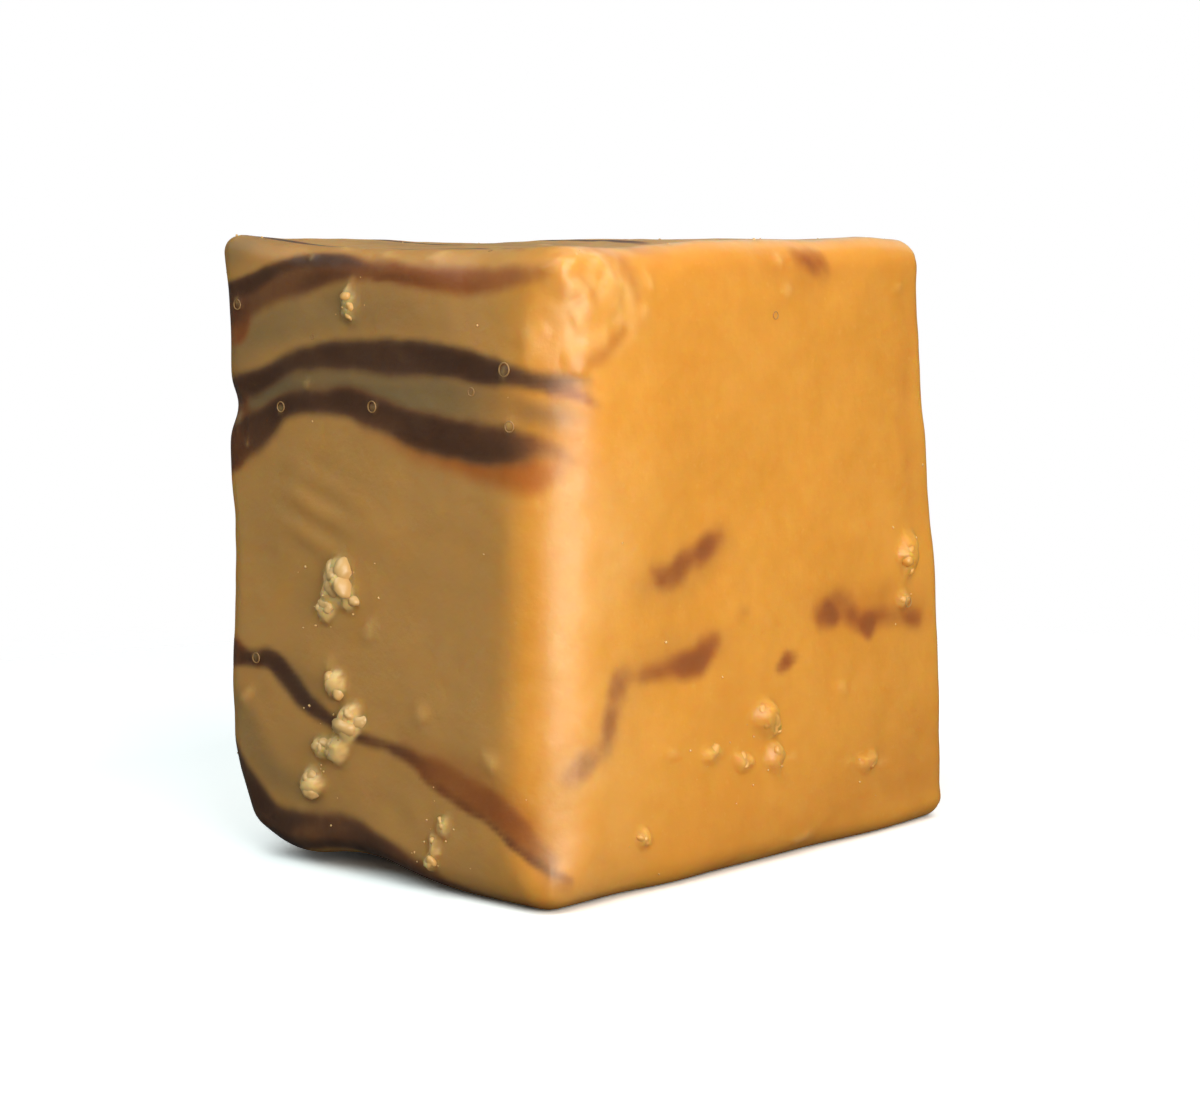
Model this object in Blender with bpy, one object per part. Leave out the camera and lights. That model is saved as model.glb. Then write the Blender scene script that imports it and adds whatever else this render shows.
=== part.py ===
"""A hand-cut piece of caramel fudge marbled with chocolate, standing on a cut side.

Metres, +Z up. The origin is the middle of the bottom of the piece's box. The narrow streaked
side looks along -X and the broad side along -Y; they meet in the worn upright edge. Pale
crumbs of set sugar stand a little out of every side, and a rough patch of them tops that edge.
"""

import math
import random

import bmesh
import bpy
from mathutils import Matrix, Vector, noise

MM = 0.001

# Driving dimensions: the slab is DEPTH thick and is cut to WIDTH and HEIGHT.
WIDTH = 28.5 * MM
DEPTH = 21.5 * MM
HEIGHT = 30.0 * MM
HALF = Vector((WIDTH / 2, DEPTH / 2, HEIGHT / 2))

# How far a knife leaves each corner from a true block's: its sides in X, Y and Z, then the shift in mm.
CORNER_SHIFTS = (
    ((-1, -1, -1), (-0.30, 0.24, 0.0)),
    ((-1, -1, 1), (0.30, -0.22, 0.0)),
    ((-1, 1, -1), (-0.1, 0.35, 0.0)),
    ((-1, 1, 1), (-0.1, 0.40, 0.28)),
    ((1, -1, -1), (2.00, -0.55, 0.0)),
    ((1, -1, 1), (0.10, 0.50, -0.05)),
    ((1, 1, -1), (1.30, 0.40, 0.0)),
    ((1, 1, 1), (0.30, 0.30, -0.30)),
)

# Rounding of the edges. The worn one stands between the streaked and the broad side.
CUT_RADIUS = 1.2 * MM
CUT_RADIUS_CHANGE = 0.5 * MM
CUT_RADIUS_WAVE = 7.0 * MM
WORN_RADIUS = 3.2 * MM
WORN_END_RADIUS = 1.8 * MM
WORN_RUN_OUT = 4.0 * MM
WORN_SPAN = 5.0 * MM

# The far heel: the bottom rounds up to the back, most of all at the streaked side.
SLUMP_RADIUS_STREAKED = 6.2 * MM
SLUMP_RADIUS_RIGHT = 2.4 * MM
SLUMP_RUN = 18.0 * MM

# The dish of the top, and the part of the bottom that lifts off the table, at the streaked side.
TOP_SAG = 0.50 * MM
TOP_SAG_RUN = 18.0 * MM
HEEL_LIFT = 1.05 * MM
HEEL_CENTRE_Y = 2.0 * MM
HEEL_HALF_LENGTH = 7.6 * MM
HEEL_RUN = 6.0 * MM
HEEL_HEIGHT = 5.0 * MM

# Unevenness of the cut sides.
WAVE_HEIGHT = 0.30 * MM
WAVE_LENGTH = 9.5 * MM
FINE_WAVE_HEIGHT = 0.08 * MM
FINE_WAVE_LENGTH = 3.4 * MM
FLAT_FOOT = 2.0 * MM
NICK_PLACE = Vector((-14.2, 10.5, 22.0)) * MM
NICK_DEPTH = 0.5 * MM
NICK_RADIUS = 0.9 * MM
RIPPLE_PLACE = Vector((-14.2, 4.4, 17.0)) * MM
RIPPLE_HEIGHT = 0.12 * MM
RIPPLE_LENGTH = 1.6 * MM
RIPPLE_RADIUS = 2.2 * MM

# Rows of the block's mesh along each side, drawn closer together towards the edges.
ROWS = 23
ROW_CROWDING = 0.74

# Each side: the way out of it, the way along it, and the way up it.
SIDES = {
    "streaked": (Vector((-1, 0, 0)), Vector((0, 1, 0)), Vector((0, 0, 1))),
    "broad": (Vector((0, -1, 0)), Vector((1, 0, 0)), Vector((0, 0, 1))),
    "right": (Vector((1, 0, 0)), Vector((0, 1, 0)), Vector((0, 0, 1))),
    "back": (Vector((0, 1, 0)), Vector((1, 0, 0)), Vector((0, 0, 1))),
    "top": (Vector((0, 0, 1)), Vector((1, 0, 0)), Vector((0, 1, 0))),
}

# Pale crumbs on a side, in mm: place along it from its middle and up it, length, breadth, turn in degrees.
PLACED_CRUMBS = {
    "streaked": (
        (2.3, 27.0, 1.9, 0.9, 4),
        (3.2, 13.8, 3.1, 2.0, -8),
        (0.6, 12.0, 1.3, 0.9, 40),
        (3.3, 9.5, 1.7, 1.4, 10),
        (2.4, 7.2, 2.4, 1.5, -14),
        (3.7, 5.9, 1.6, 1.3, 50),
        (4.9, 4.2, 1.5, 1.3, 0),
        (-3.6, 2.7, 2.5, 0.7, 28),
        (-2.5, 8.5, 1.1, 1.0, 0),
        (9.7, 21.4, 1.2, 0.9, 20),
        (-8.9, 23.9, 1.2, 1.0, 70),
    ),
    "broad": (
        (12.3, 14.0, 2.4, 1.4, 8),
        (11.7, 11.9, 1.0, 0.9, 0),
        (0.6, 7.1, 2.0, 1.2, 25),
        (-3.4, 5.9, 1.2, 1.1, 0),
        (-1.1, 5.4, 1.1, 1.1, 0),
        (1.3, 5.1, 1.1, 1.3, 80),
        (8.5, 3.9, 1.0, 1.6, 0),
        (-8.3, 2.9, 1.1, 1.0, 0),
        (3.2, 1.6, 0.8, 1.8, 20),
        (2.0, 27.5, 1.1, 0.9, 30),
        (11.5, 27.4, 0.9, 0.8, 0),
    ),
    "top": ((-12.9, 1.5, 1.3, 2.6, 10),),
}
CRUMB_PROUD = 0.20
CRUMB_THICKNESS = 0.50
CRUMB_UNEVENNESS = 0.18
CRUMB_FINENESS = 2

# The rough patch beside the top of the worn edge, on the broad side, in mm.
PATCH_CRUMBS = 12
PATCH_ALONG = (-12.6, -8.2)
PATCH_UP = (24.4, 28.9)
PATCH_LENGTHS = (1.3, 2.4)

# Crumbs of the sides that have no placed ones, one in each cell of a grid so that they spread.
SCATTER_SIDES = ("right", "back", "top")
SCATTER_CELLS = 3
SCATTER_LENGTHS = (0.9, 2.2)
SCATTER_MARGIN = 2.4 * MM
SLIMMEST, STOUTEST = 0.6, 1.0
SEED = 31

CARAMEL = (0.76, 0.34, 0.07, 1.0)
CARAMEL_ROUGHNESS = 0.42


def clear_scene():
    """Removes what the start-up file holds."""
    for thing in list(bpy.data.objects):
        bpy.data.objects.remove(thing, do_unlink=True)


def caramel_material():
    """The plain caramel colour of the piece."""
    material = bpy.data.materials.new("caramel_fudge")
    material.use_nodes = True
    shader = material.node_tree.nodes["Principled BSDF"]
    shader.inputs["Base Color"].default_value = CARAMEL
    shader.inputs["Roughness"].default_value = CARAMEL_ROUGHNESS
    shader.inputs["Metallic"].default_value = 0.0
    return material


def ease(value):
    """0 below 0, 1 above 1, and a smooth step between them."""
    value = min(max(value, 0.0), 1.0)
    return value * value * (3 - 2 * value)


def crowded(share):
    """A place from -1 to 1, moved so that rows lie closer near both ends."""
    return math.sin(share * ROW_CROWDING * math.pi / 2) / math.sin(ROW_CROWDING * math.pi / 2)


def edge_radius(box):
    """Rounding of the edge nearest to a place on the true block. It is the same across an edge."""
    nearest = Vector([math.copysign(HALF[axis], box[axis]) for axis in range(3)])
    run = max(range(3), key=lambda axis: abs(nearest[axis] - box[axis]))
    nearest[run] = box[run]
    radius = CUT_RADIUS + CUT_RADIUS_CHANGE * noise.noise(nearest / CUT_RADIUS_WAVE)
    worn = ease(2 - (box.x + HALF.x) / WORN_SPAN) * ease(2 - (box.y + HALF.y) / WORN_SPAN)
    from_ends = ease((HALF.z - abs(box.z)) / WORN_RUN_OUT)
    worn_radius = WORN_END_RADIUS + (WORN_RADIUS - WORN_END_RADIUS) * from_ends
    return radius + (worn_radius - radius) * worn


def rounded(unit):
    """The place on a rounded block, and the way out of it there."""
    box = Vector([unit[axis] * HALF[axis] for axis in range(3)])
    radius = edge_radius(box)
    reach = [HALF[axis] - radius for axis in range(3)]
    core = Vector([min(max(box[axis], -reach[axis]), reach[axis]) for axis in range(3)])
    outward = (box - core).normalized()
    return core + outward * radius, outward


def slumped(place):
    """The far bottom corner drawn in, seen along X, from a square to a quarter circle."""
    share = ease((place.x + HALF.x) / SLUMP_RUN)
    radius = SLUMP_RADIUS_STREAKED + (SLUMP_RADIUS_RIGHT - SLUMP_RADIUS_STREAKED) * share
    back = max(0.0, (place.y - HALF.y) / radius + 1)
    down = max(0.0, (-place.z - HALF.z) / radius + 1)
    round_back = back * math.sqrt(1 - min(down * down / 2, 1.0))
    round_down = down * math.sqrt(1 - min(back * back / 2, 1.0))
    return place + Vector((0.0, round_back - back, down - round_down)) * radius


def knife_shift(place):
    """The corners' shifts, blended across the block."""
    shift = Vector()
    for sides, offset in CORNER_SHIFTS:
        share = 1.0
        for axis in range(3):
            share *= 0.5 + 0.5 * sides[axis] * place[axis] / HALF[axis]
        shift += share * Vector(offset) * MM
    return shift


def unevenness(place, outward):
    """Low waves on the sides, and none on the face that the piece stands on."""
    above_foot = ease((place.z + HALF.z) / FLAT_FOOT)
    waves = noise.noise(place / WAVE_LENGTH) * WAVE_HEIGHT
    fine = noise.noise(place / FINE_WAVE_LENGTH + Vector((7.0, 3.0, 5.0))) * FINE_WAVE_HEIGHT
    return outward * (waves + fine) * above_foot


def nick(place):
    """A small notch in the far upright edge."""
    away = (place - NICK_PLACE).length / NICK_RADIUS
    return Vector((0.5, -1.0, 0.0)) * NICK_DEPTH * math.exp(-away * away)


def ripples(place, outward):
    """Shallow ridges that the knife dragged up on the streaked side."""
    away = place - RIPPLE_PLACE
    fade = math.exp(-((away.length / RIPPLE_RADIUS) ** 2))
    phase = 2 * math.pi * (away.z - 0.35 * away.y) / RIPPLE_LENGTH
    return outward * RIPPLE_HEIGHT * math.sin(phase) * fade


def sag_and_heel(place):
    """The dished top and the lifted heel, both along the streaked side."""
    from_side = place.x + HALF.x
    across = place.y / HALF.y
    top = ease(2 * place.z / HEIGHT - 1) * ease(1 - from_side / TOP_SAG_RUN)
    sag = -TOP_SAG * top * max(0.0, 1 - across * across)
    span = min(abs(place.y - HEEL_CENTRE_Y) / HEEL_HALF_LENGTH, 1.0)
    reach = ease(1 - from_side / HEEL_RUN) * ease(1 - place.z / HEEL_HEIGHT)
    heel = HEEL_LIFT * math.cos(span * math.pi / 2) ** 2 * reach
    return Vector((0.0, 0.0, sag + heel))


def surface_place(unit):
    """A place on the finished block, from its place on a cube of side 2 around the middle."""
    place, outward = rounded(unit)
    moved = slumped(place) + knife_shift(place) + unevenness(place, outward)
    moved.z += HALF.z
    return moved + nick(moved) + ripples(moved, outward) + sag_and_heel(moved)


def block_mesh():
    """The block: the grid of rows on a cube's six faces, each corner laid on the finished surface."""
    mesh = bmesh.new()
    bmesh.ops.create_cube(mesh, size=2.0)
    bmesh.ops.subdivide_edges(mesh, edges=mesh.edges[:], cuts=ROWS - 1, use_grid_fill=True)
    for corner in mesh.verts:
        corner.co = surface_place(Vector([crowded(value) for value in corner.co]))
    bmesh.ops.recalc_face_normals(mesh, faces=mesh.faces[:])
    return mesh


def half_size(direction):
    """Half the block's size along one of its axes."""
    return sum(abs(direction[axis]) * HALF[axis] for axis in range(3))


def crumb(collection, side, along, up, length, breadth, turn):
    """One crumb: a flat uneven blob with most of its body inside the fudge. Sizes are in mm."""
    outward, along_way, up_way = SIDES[side]
    along_share = along * MM / half_size(along_way)
    up_share = up * MM / half_size(up_way) - 1
    unit = outward + along_way * along_share + up_way * up_share
    place = surface_place(unit)
    angle = math.radians(turn)
    long_way = up_way * math.cos(angle) + along_way * math.sin(angle)
    short_way = along_way * math.cos(angle) - up_way * math.sin(angle)
    thickness = CRUMB_THICKNESS * min(length, breadth)
    proud = CRUMB_PROUD * min(length, breadth)
    mesh = bmesh.new()
    bmesh.ops.create_icosphere(mesh, subdivisions=CRUMB_FINENESS, radius=1.0)
    for corner in mesh.verts:
        lump = 1 + CRUMB_UNEVENNESS * noise.noise(corner.co * 1.3 + Vector((along, up, turn)))
        across_blob = short_way * corner.co.x * breadth / 2
        along_blob = long_way * corner.co.y * length / 2
        out_of_side = outward * (corner.co.z * thickness + proud - thickness)
        corner.co = place + (across_blob + along_blob) * lump * MM + out_of_side * MM
    bmesh.ops.recalc_face_normals(mesh, faces=mesh.faces[:])
    data = bpy.data.meshes.new("crumb")
    mesh.to_mesh(data)
    mesh.free()
    collection.objects.link(bpy.data.objects.new("crumb", data))


def patch_of_crumbs(collection, draw):
    """The rough patch near the top of the worn edge."""
    for _ in range(PATCH_CRUMBS):
        length = draw.uniform(*PATCH_LENGTHS)
        breadth = length * draw.uniform(SLIMMEST, STOUTEST)
        along, up = draw.uniform(*PATCH_ALONG), draw.uniform(*PATCH_UP)
        crumb(collection, "broad", along, up, length, breadth, draw.uniform(0, 180))


def scattered_crumbs(collection, draw):
    """Crumbs on the sides that the placed ones leave bare."""
    for side in SCATTER_SIDES:
        half_along, half_up = (half_size(way) - SCATTER_MARGIN for way in SIDES[side][1:])
        for number in range(SCATTER_CELLS**2):
            column, row = number % SCATTER_CELLS, number // SCATTER_CELLS
            along = (2 * (column + draw.random()) / SCATTER_CELLS - 1) * half_along
            up = SCATTER_MARGIN + 2 * (row + draw.random()) / SCATTER_CELLS * half_up
            length = draw.uniform(*SCATTER_LENGTHS)
            breadth = length * draw.uniform(SLIMMEST, STOUTEST)
            crumb(collection, side, along / MM, up / MM, length, breadth, draw.uniform(0, 180))


def all_crumbs():
    """The collection of crumbs that the block is joined with."""
    draw = random.Random(SEED)
    collection = bpy.data.collections.new("crumbs")
    bpy.context.scene.collection.children.link(collection)
    for side, rows in PLACED_CRUMBS.items():
        for row in rows:
            crumb(collection, side, *row)
    patch_of_crumbs(collection, draw)
    scattered_crumbs(collection, draw)
    return collection


def join_crumbs(block, collection):
    """One union of the block with its crumbs, applied, after which the crumbs' own objects go."""
    union = block.modifiers.new("join_crumbs", "BOOLEAN")
    union.operation = "UNION"
    union.operand_type = "COLLECTION"
    union.collection = collection
    bpy.context.view_layer.update()
    graph = bpy.context.evaluated_depsgraph_get()
    joined = bpy.data.meshes.new_from_object(block.evaluated_get(graph))
    block.modifiers.clear()
    block.data = joined
    for loose in list(collection.objects):
        bpy.data.objects.remove(loose, do_unlink=True)
    bpy.data.collections.remove(collection)


def stand_on_origin(block):
    """Moves the mesh so that the middle of the bottom of its box is the origin."""
    corners = [vertex.co for vertex in block.data.vertices]
    lowest = Vector([min(corner[axis] for corner in corners) for axis in range(3)])
    highest = Vector([max(corner[axis] for corner in corners) for axis in range(3)])
    middle = (lowest + highest) / 2
    block.data.transform(Matrix.Translation((-middle.x, -middle.y, -lowest.z)))


def build_fudge():
    """The piece of fudge with its crumbs, as one closed solid."""
    mesh = block_mesh()
    data = bpy.data.meshes.new("fudge")
    mesh.to_mesh(data)
    mesh.free()
    block = bpy.data.objects.new("fudge", data)
    bpy.context.scene.collection.objects.link(block)
    join_crumbs(block, all_crumbs())
    stand_on_origin(block)
    block.data.materials.clear()
    block.data.materials.append(caramel_material())
    block.data.shade_smooth()


clear_scene()
build_fudge()
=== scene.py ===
"""The looks of a hand-cut piece of caramel fudge, marbled with chocolate and specked with sugar.

The piece is cut from a slab: its broad side and its back are the slab's own faces, and the
streaked side, the side opposite to it, the top and the bottom are knife cuts that show the
marbling. Places on a side are in mm on the true block: along it from its middle, and up it.
"""

import logging
import math
import random
from dataclasses import dataclass, field, replace
from enum import Enum

import bpy
import numpy as np
from mathutils import Matrix, Vector, noise


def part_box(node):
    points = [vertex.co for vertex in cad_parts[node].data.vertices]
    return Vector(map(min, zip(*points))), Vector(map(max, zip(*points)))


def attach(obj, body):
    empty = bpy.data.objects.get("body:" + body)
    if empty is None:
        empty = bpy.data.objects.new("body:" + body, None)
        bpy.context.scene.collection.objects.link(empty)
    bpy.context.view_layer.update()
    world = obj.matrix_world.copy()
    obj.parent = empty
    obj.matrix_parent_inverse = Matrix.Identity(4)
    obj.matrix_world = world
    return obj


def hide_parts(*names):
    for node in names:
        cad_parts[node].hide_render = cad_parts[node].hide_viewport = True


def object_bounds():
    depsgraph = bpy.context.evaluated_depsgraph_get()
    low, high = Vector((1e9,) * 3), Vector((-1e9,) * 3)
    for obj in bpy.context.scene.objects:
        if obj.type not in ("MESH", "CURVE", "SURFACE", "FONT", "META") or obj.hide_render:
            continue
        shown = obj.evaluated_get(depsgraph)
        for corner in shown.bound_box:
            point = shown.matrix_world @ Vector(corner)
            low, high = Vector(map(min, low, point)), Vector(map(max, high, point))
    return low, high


MM = 0.001
BODY = "root"
NODE = "fudge"

Colour = tuple[float, float, float, float]
Places = np.ndarray
Socket = bpy.types.NodeSocket
ShaderGroup = bpy.types.ShaderNodeTree

log = logging.getLogger("fudge")
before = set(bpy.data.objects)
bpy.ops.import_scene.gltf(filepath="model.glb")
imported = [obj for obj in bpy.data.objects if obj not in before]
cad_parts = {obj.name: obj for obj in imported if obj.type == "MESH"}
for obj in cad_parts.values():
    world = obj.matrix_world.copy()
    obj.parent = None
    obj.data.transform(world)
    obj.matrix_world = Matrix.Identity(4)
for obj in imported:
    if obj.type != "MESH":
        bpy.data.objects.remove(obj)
CAD_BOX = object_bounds()


class Side(Enum):
    """The sides of the piece: the way out of each, the way along it and the way up it."""

    STREAKED = ((-1, 0, 0), (0, 1, 0), (0, 0, 1))
    BROAD = ((0, -1, 0), (1, 0, 0), (0, 0, 1))
    RIGHT = ((1, 0, 0), (0, 1, 0), (0, 0, 1))
    BACK = ((0, 1, 0), (1, 0, 0), (0, 0, 1))
    TOP = ((0, 0, 1), (1, 0, 0), (0, 1, 0))
    BOTTOM = ((0, 0, -1), (1, 0, 0), (0, 1, 0))

    def ways(self) -> Places:
        """The three ways as the rows of an array."""
        return np.array(self.value, float)


class Layer(Enum):
    """What a mark is made of. The value is the name that its values have on the mesh."""

    STREAK = "streak"
    SMEAR = "smear_and_shade"


class Offset(Enum):
    """Where in the noise each kind of unevenness is read, so that no two of them match."""

    WAVES = (0, 0, 0)
    FINE_WAVES = (7, 3, 5)
    STRAY = (2, 8, 1)
    FINE_STRAY = (6, 1, 3)
    THINNING = (4, 4, 9)
    COOL_SHADE = (5, 5, 1)
    HIGHLIGHT = (4, 6, 2)
    SKIN = (3, 9, 4)
    PRESSED = (2, 2, 7)
    PATCH = (1, 1, 8)
    KNOBS = (8, 2, 6)


def noise_at(places: Places, wave: float, offset: tuple[float, float, float]) -> Places:
    """Smooth noise from -1 to 1.

    Args:
        places: the places, one a row.
        wave: the size of the noise's lumps.
        offset: where in the noise to read.

    Returns:
        One value for each place.
    """
    scaled = (places / wave + np.array(offset)).tolist()
    return np.fromiter((noise.noise(place) for place in scaled), float, len(scaled))


def wandered(places: Places, wave: float, reach: float, offset: tuple[float, float, float]) -> Places:
    """How far each place strays, by three noises read one step apart.

    Args:
        places: the places, one a row.
        wave: the size of the noise's lumps.
        reach: how far a place strays at most.
        offset: the step between the noises along X, and where to read them along Y and Z.

    Returns:
        One shift for each place.
    """
    step, *others = offset
    ways = [noise_at(places, wave, (number * step, *others)) for number in range(3)]
    return np.stack(ways, axis=1) * reach


def ease(value: Places) -> Places:
    """0 below 0, 1 above 1, and a smooth step between them."""
    value = np.clip(value, 0, 1)
    return value * value * (3 - 2 * value)


def cube_grid(rows: tuple[int, int, int]) -> tuple[Places, Places]:
    """A closed grid on the six faces of a cube of side 2.

    Args:
        rows: how many rows the grid has along X, Y and Z.

    Returns:
        The grid's places, and the four places of each of its squares, facing outwards.
    """
    corners, squares, start = [], [], 0
    for axis in range(3):
        across, up = (axis + 1) % 3, (axis + 2) % 3
        steps = np.meshgrid(np.arange(rows[across] + 1), np.arange(rows[up] + 1), indexing="ij")
        for far in (False, True):
            grid = np.zeros(steps[0].shape + (3,), int)
            grid[..., axis] = rows[axis] if far else 0
            grid[..., across], grid[..., up] = steps
            number = np.arange(steps[0].size).reshape(steps[0].shape) + start
            square = [number[:-1, :-1], number[1:, :-1], number[1:, 1:], number[:-1, 1:]]
            square = np.stack(square, axis=-1).reshape(-1, 4)
            squares.append(square if far else square[:, ::-1])
            corners.append(grid.reshape(-1, 3))
            start += steps[0].size
    corners, merged = np.unique(np.concatenate(corners), axis=0, return_inverse=True)
    return 2 * corners / np.array(rows) - 1, merged.reshape(-1)[np.concatenate(squares)]


@dataclass(frozen=True)
class CutBlock:
    """The form of the block, after its solid, worked out for many places at once.

    A box is rounded, slumped at one corner and moved at its corners as the knife left it. Then come
    low waves, a nick, the knife's ripples, the dished top and the lifted heel.
    """

    half: tuple[float, float, float] = (14.25 * MM, 10.75 * MM, 15.0 * MM)
    corner_shifts: tuple = (
        ((-1, -1, -1), (-0.30, 0.24, 0.0)),
        ((-1, -1, 1), (0.30, -0.22, 0.0)),
        ((-1, 1, -1), (-0.1, 0.35, 0.0)),
        ((-1, 1, 1), (-0.1, 0.40, 0.28)),
        ((1, -1, -1), (2.00, -0.55, 0.0)),
        ((1, -1, 1), (0.10, 0.50, -0.05)),
        ((1, 1, -1), (1.30, 0.40, 0.0)),
        ((1, 1, 1), (0.30, 0.30, -0.30)),
    )
    cut_radius: float = 1.2 * MM
    cut_radius_change: float = 0.5 * MM
    cut_radius_wave: float = 7.0 * MM
    worn_radius: float = 3.2 * MM
    worn_end_radius: float = 1.8 * MM
    worn_run_out: float = 4.0 * MM
    worn_span: float = 5.0 * MM
    slump_radius_streaked: float = 6.2 * MM
    slump_radius_right: float = 2.4 * MM
    slump_run: float = 18.0 * MM
    top_sag: float = 0.50 * MM
    top_sag_run: float = 18.0 * MM
    heel_lift: float = 1.05 * MM
    heel_centre_y: float = 2.0 * MM
    heel_half_length: float = 7.6 * MM
    heel_run: float = 6.0 * MM
    heel_height: float = 5.0 * MM
    wave_height: float = 0.30 * MM
    wave_length: float = 9.5 * MM
    fine_wave_height: float = 0.08 * MM
    fine_wave_length: float = 3.4 * MM
    flat_foot: float = 2.0 * MM
    nick_place: tuple[float, float, float] = (-14.2 * MM, 10.5 * MM, 22.0 * MM)
    nick_way: tuple[float, float, float] = (0.5, -1.0, 0.0)
    nick_depth: float = 0.5 * MM
    nick_radius: float = 0.9 * MM
    ripple_place: tuple[float, float, float] = (-14.2 * MM, 4.4 * MM, 17.0 * MM)
    ripple_height: float = 0.07 * MM
    ripple_length: float = 1.6 * MM
    ripple_slope: float = 0.35
    ripple_radius: float = 2.2 * MM
    row_crowding: float = 0.6

    def crowded(self, share: Places) -> Places:
        """Places from -1 to 1, moved so that rows lie closer near both ends."""
        full = math.sin(self.row_crowding * math.pi / 2)
        return np.sin(share * self.row_crowding * math.pi / 2) / full

    def edge_radius(self, box: Places) -> Places:
        """The rounding of the edge nearest to each place.

        Args:
            box: places on the true block.

        Returns:
            One radius for each place.
        """
        half = np.array(self.half)
        nearest = np.copysign(half, box)
        run = np.argmax(np.abs(nearest - box), axis=1)
        rows = np.arange(len(box))
        nearest[rows, run] = box[rows, run]
        change = noise_at(nearest, self.cut_radius_wave, Offset.WAVES.value)
        radius = self.cut_radius + self.cut_radius_change * change
        worn = ease(2 - (box[:, 0] + half[0]) / self.worn_span)
        worn *= ease(2 - (box[:, 1] + half[1]) / self.worn_span)
        from_ends = ease((half[2] - np.abs(box[:, 2])) / self.worn_run_out)
        worn_radius = self.worn_end_radius + (self.worn_radius - self.worn_end_radius) * from_ends
        return radius + (worn_radius - radius) * worn

    def slumped(self, places: Places) -> Places:
        """Draws the far bottom corner in, seen along X, to a quarter circle.

        Args:
            places: places on the rounded block.

        Returns:
            The moved places.
        """
        share = ease((places[:, 0] + self.half[0]) / self.slump_run)
        change = self.slump_radius_right - self.slump_radius_streaked
        radius = self.slump_radius_streaked + change * share
        back = np.maximum(0, (places[:, 1] - self.half[1]) / radius + 1)
        down = np.maximum(0, (-places[:, 2] - self.half[2]) / radius + 1)
        moved = places.copy()
        moved[:, 1] += (back * np.sqrt(1 - np.minimum(down * down / 2, 1)) - back) * radius
        moved[:, 2] += (down - down * np.sqrt(1 - np.minimum(back * back / 2, 1))) * radius
        return moved

    def knife_shift(self, places: Places) -> Places:
        """The corners' shifts, blended across the block.

        Args:
            places: places on the rounded block.

        Returns:
            One shift for each place.
        """
        shift = np.zeros_like(places)
        for sides, offset in self.corner_shifts:
            share = np.prod(0.5 + 0.5 * np.array(sides) * places / np.array(self.half), axis=1)
            shift += share[:, None] * np.array(offset) * MM
        return shift

    def unevenness(self, places: Places, outward: Places) -> Places:
        """Low waves on the sides, and none on the face that the piece stands on.

        Args:
            places: places on the rounded block.
            outward: the way out at each.

        Returns:
            One shift for each place.
        """
        above_foot = ease((places[:, 2] + self.half[2]) / self.flat_foot)
        waves = noise_at(places, self.wave_length, Offset.WAVES.value) * self.wave_height
        fine = noise_at(places, self.fine_wave_length, Offset.FINE_WAVES.value)
        waves += fine * self.fine_wave_height
        return outward * (waves * above_foot)[:, None]

    def nick(self, places: Places) -> Places:
        """A small notch in the far upright edge."""
        away = np.linalg.norm(places - np.array(self.nick_place), axis=1) / self.nick_radius
        return np.array(self.nick_way) * (self.nick_depth * np.exp(-away * away))[:, None]

    def ripples(self, places: Places, outward: Places) -> Places:
        """Shallow ridges that the knife dragged up on the streaked side.

        Args:
            places: places on the block.
            outward: the way out at each.

        Returns:
            One shift for each place.
        """
        away = places - np.array(self.ripple_place)
        fade = np.exp(-((np.linalg.norm(away, axis=1) / self.ripple_radius) ** 2))
        phase = 2 * math.pi * (away[:, 2] - self.ripple_slope * away[:, 1]) / self.ripple_length
        return outward * (self.ripple_height * np.sin(phase) * fade)[:, None]

    def sag_and_heel(self, places: Places) -> Places:
        """The dished top and the lifted heel, both along the streaked side.

        Args:
            places: places on the block, with Z from its foot.

        Returns:
            One shift for each place.
        """
        from_side = places[:, 0] + self.half[0]
        across = places[:, 1] / self.half[1]
        top = ease(places[:, 2] / self.half[2] - 1) * ease(1 - from_side / self.top_sag_run)
        sag = -self.top_sag * top * np.maximum(0, 1 - across * across)
        span = np.minimum(np.abs(places[:, 1] - self.heel_centre_y) / self.heel_half_length, 1)
        reach = ease(1 - from_side / self.heel_run) * ease(1 - places[:, 2] / self.heel_height)
        heel = self.heel_lift * np.cos(span * math.pi / 2) ** 2 * reach
        return np.stack([np.zeros_like(sag), np.zeros_like(sag), sag + heel], axis=1)

    def surface(self, unit: Places) -> tuple[Places, Places]:
        """The finished surface.

        Args:
            unit: places on a cube of side 2.

        Returns:
            The places on the block, with Z from its foot, and the way out at each.
        """
        half = np.array(self.half)
        box = unit * half
        radius = self.edge_radius(box)
        reach = half - radius[:, None]
        core = np.clip(box, -reach, reach)
        outward = box - core
        outward /= np.linalg.norm(outward, axis=1)[:, None]
        places = core + outward * radius[:, None]
        moved = self.slumped(places) + self.knife_shift(places) + self.unevenness(places, outward)
        moved[:, 2] += self.half[2]
        moved += self.nick(moved)
        moved += self.ripples(moved, outward)
        return moved + self.sag_and_heel(moved), outward


# The slab's own faces, where chocolate was smeared rather than cut through.
SLAB_SIDES = (Side.BROAD, Side.BACK)


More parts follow.
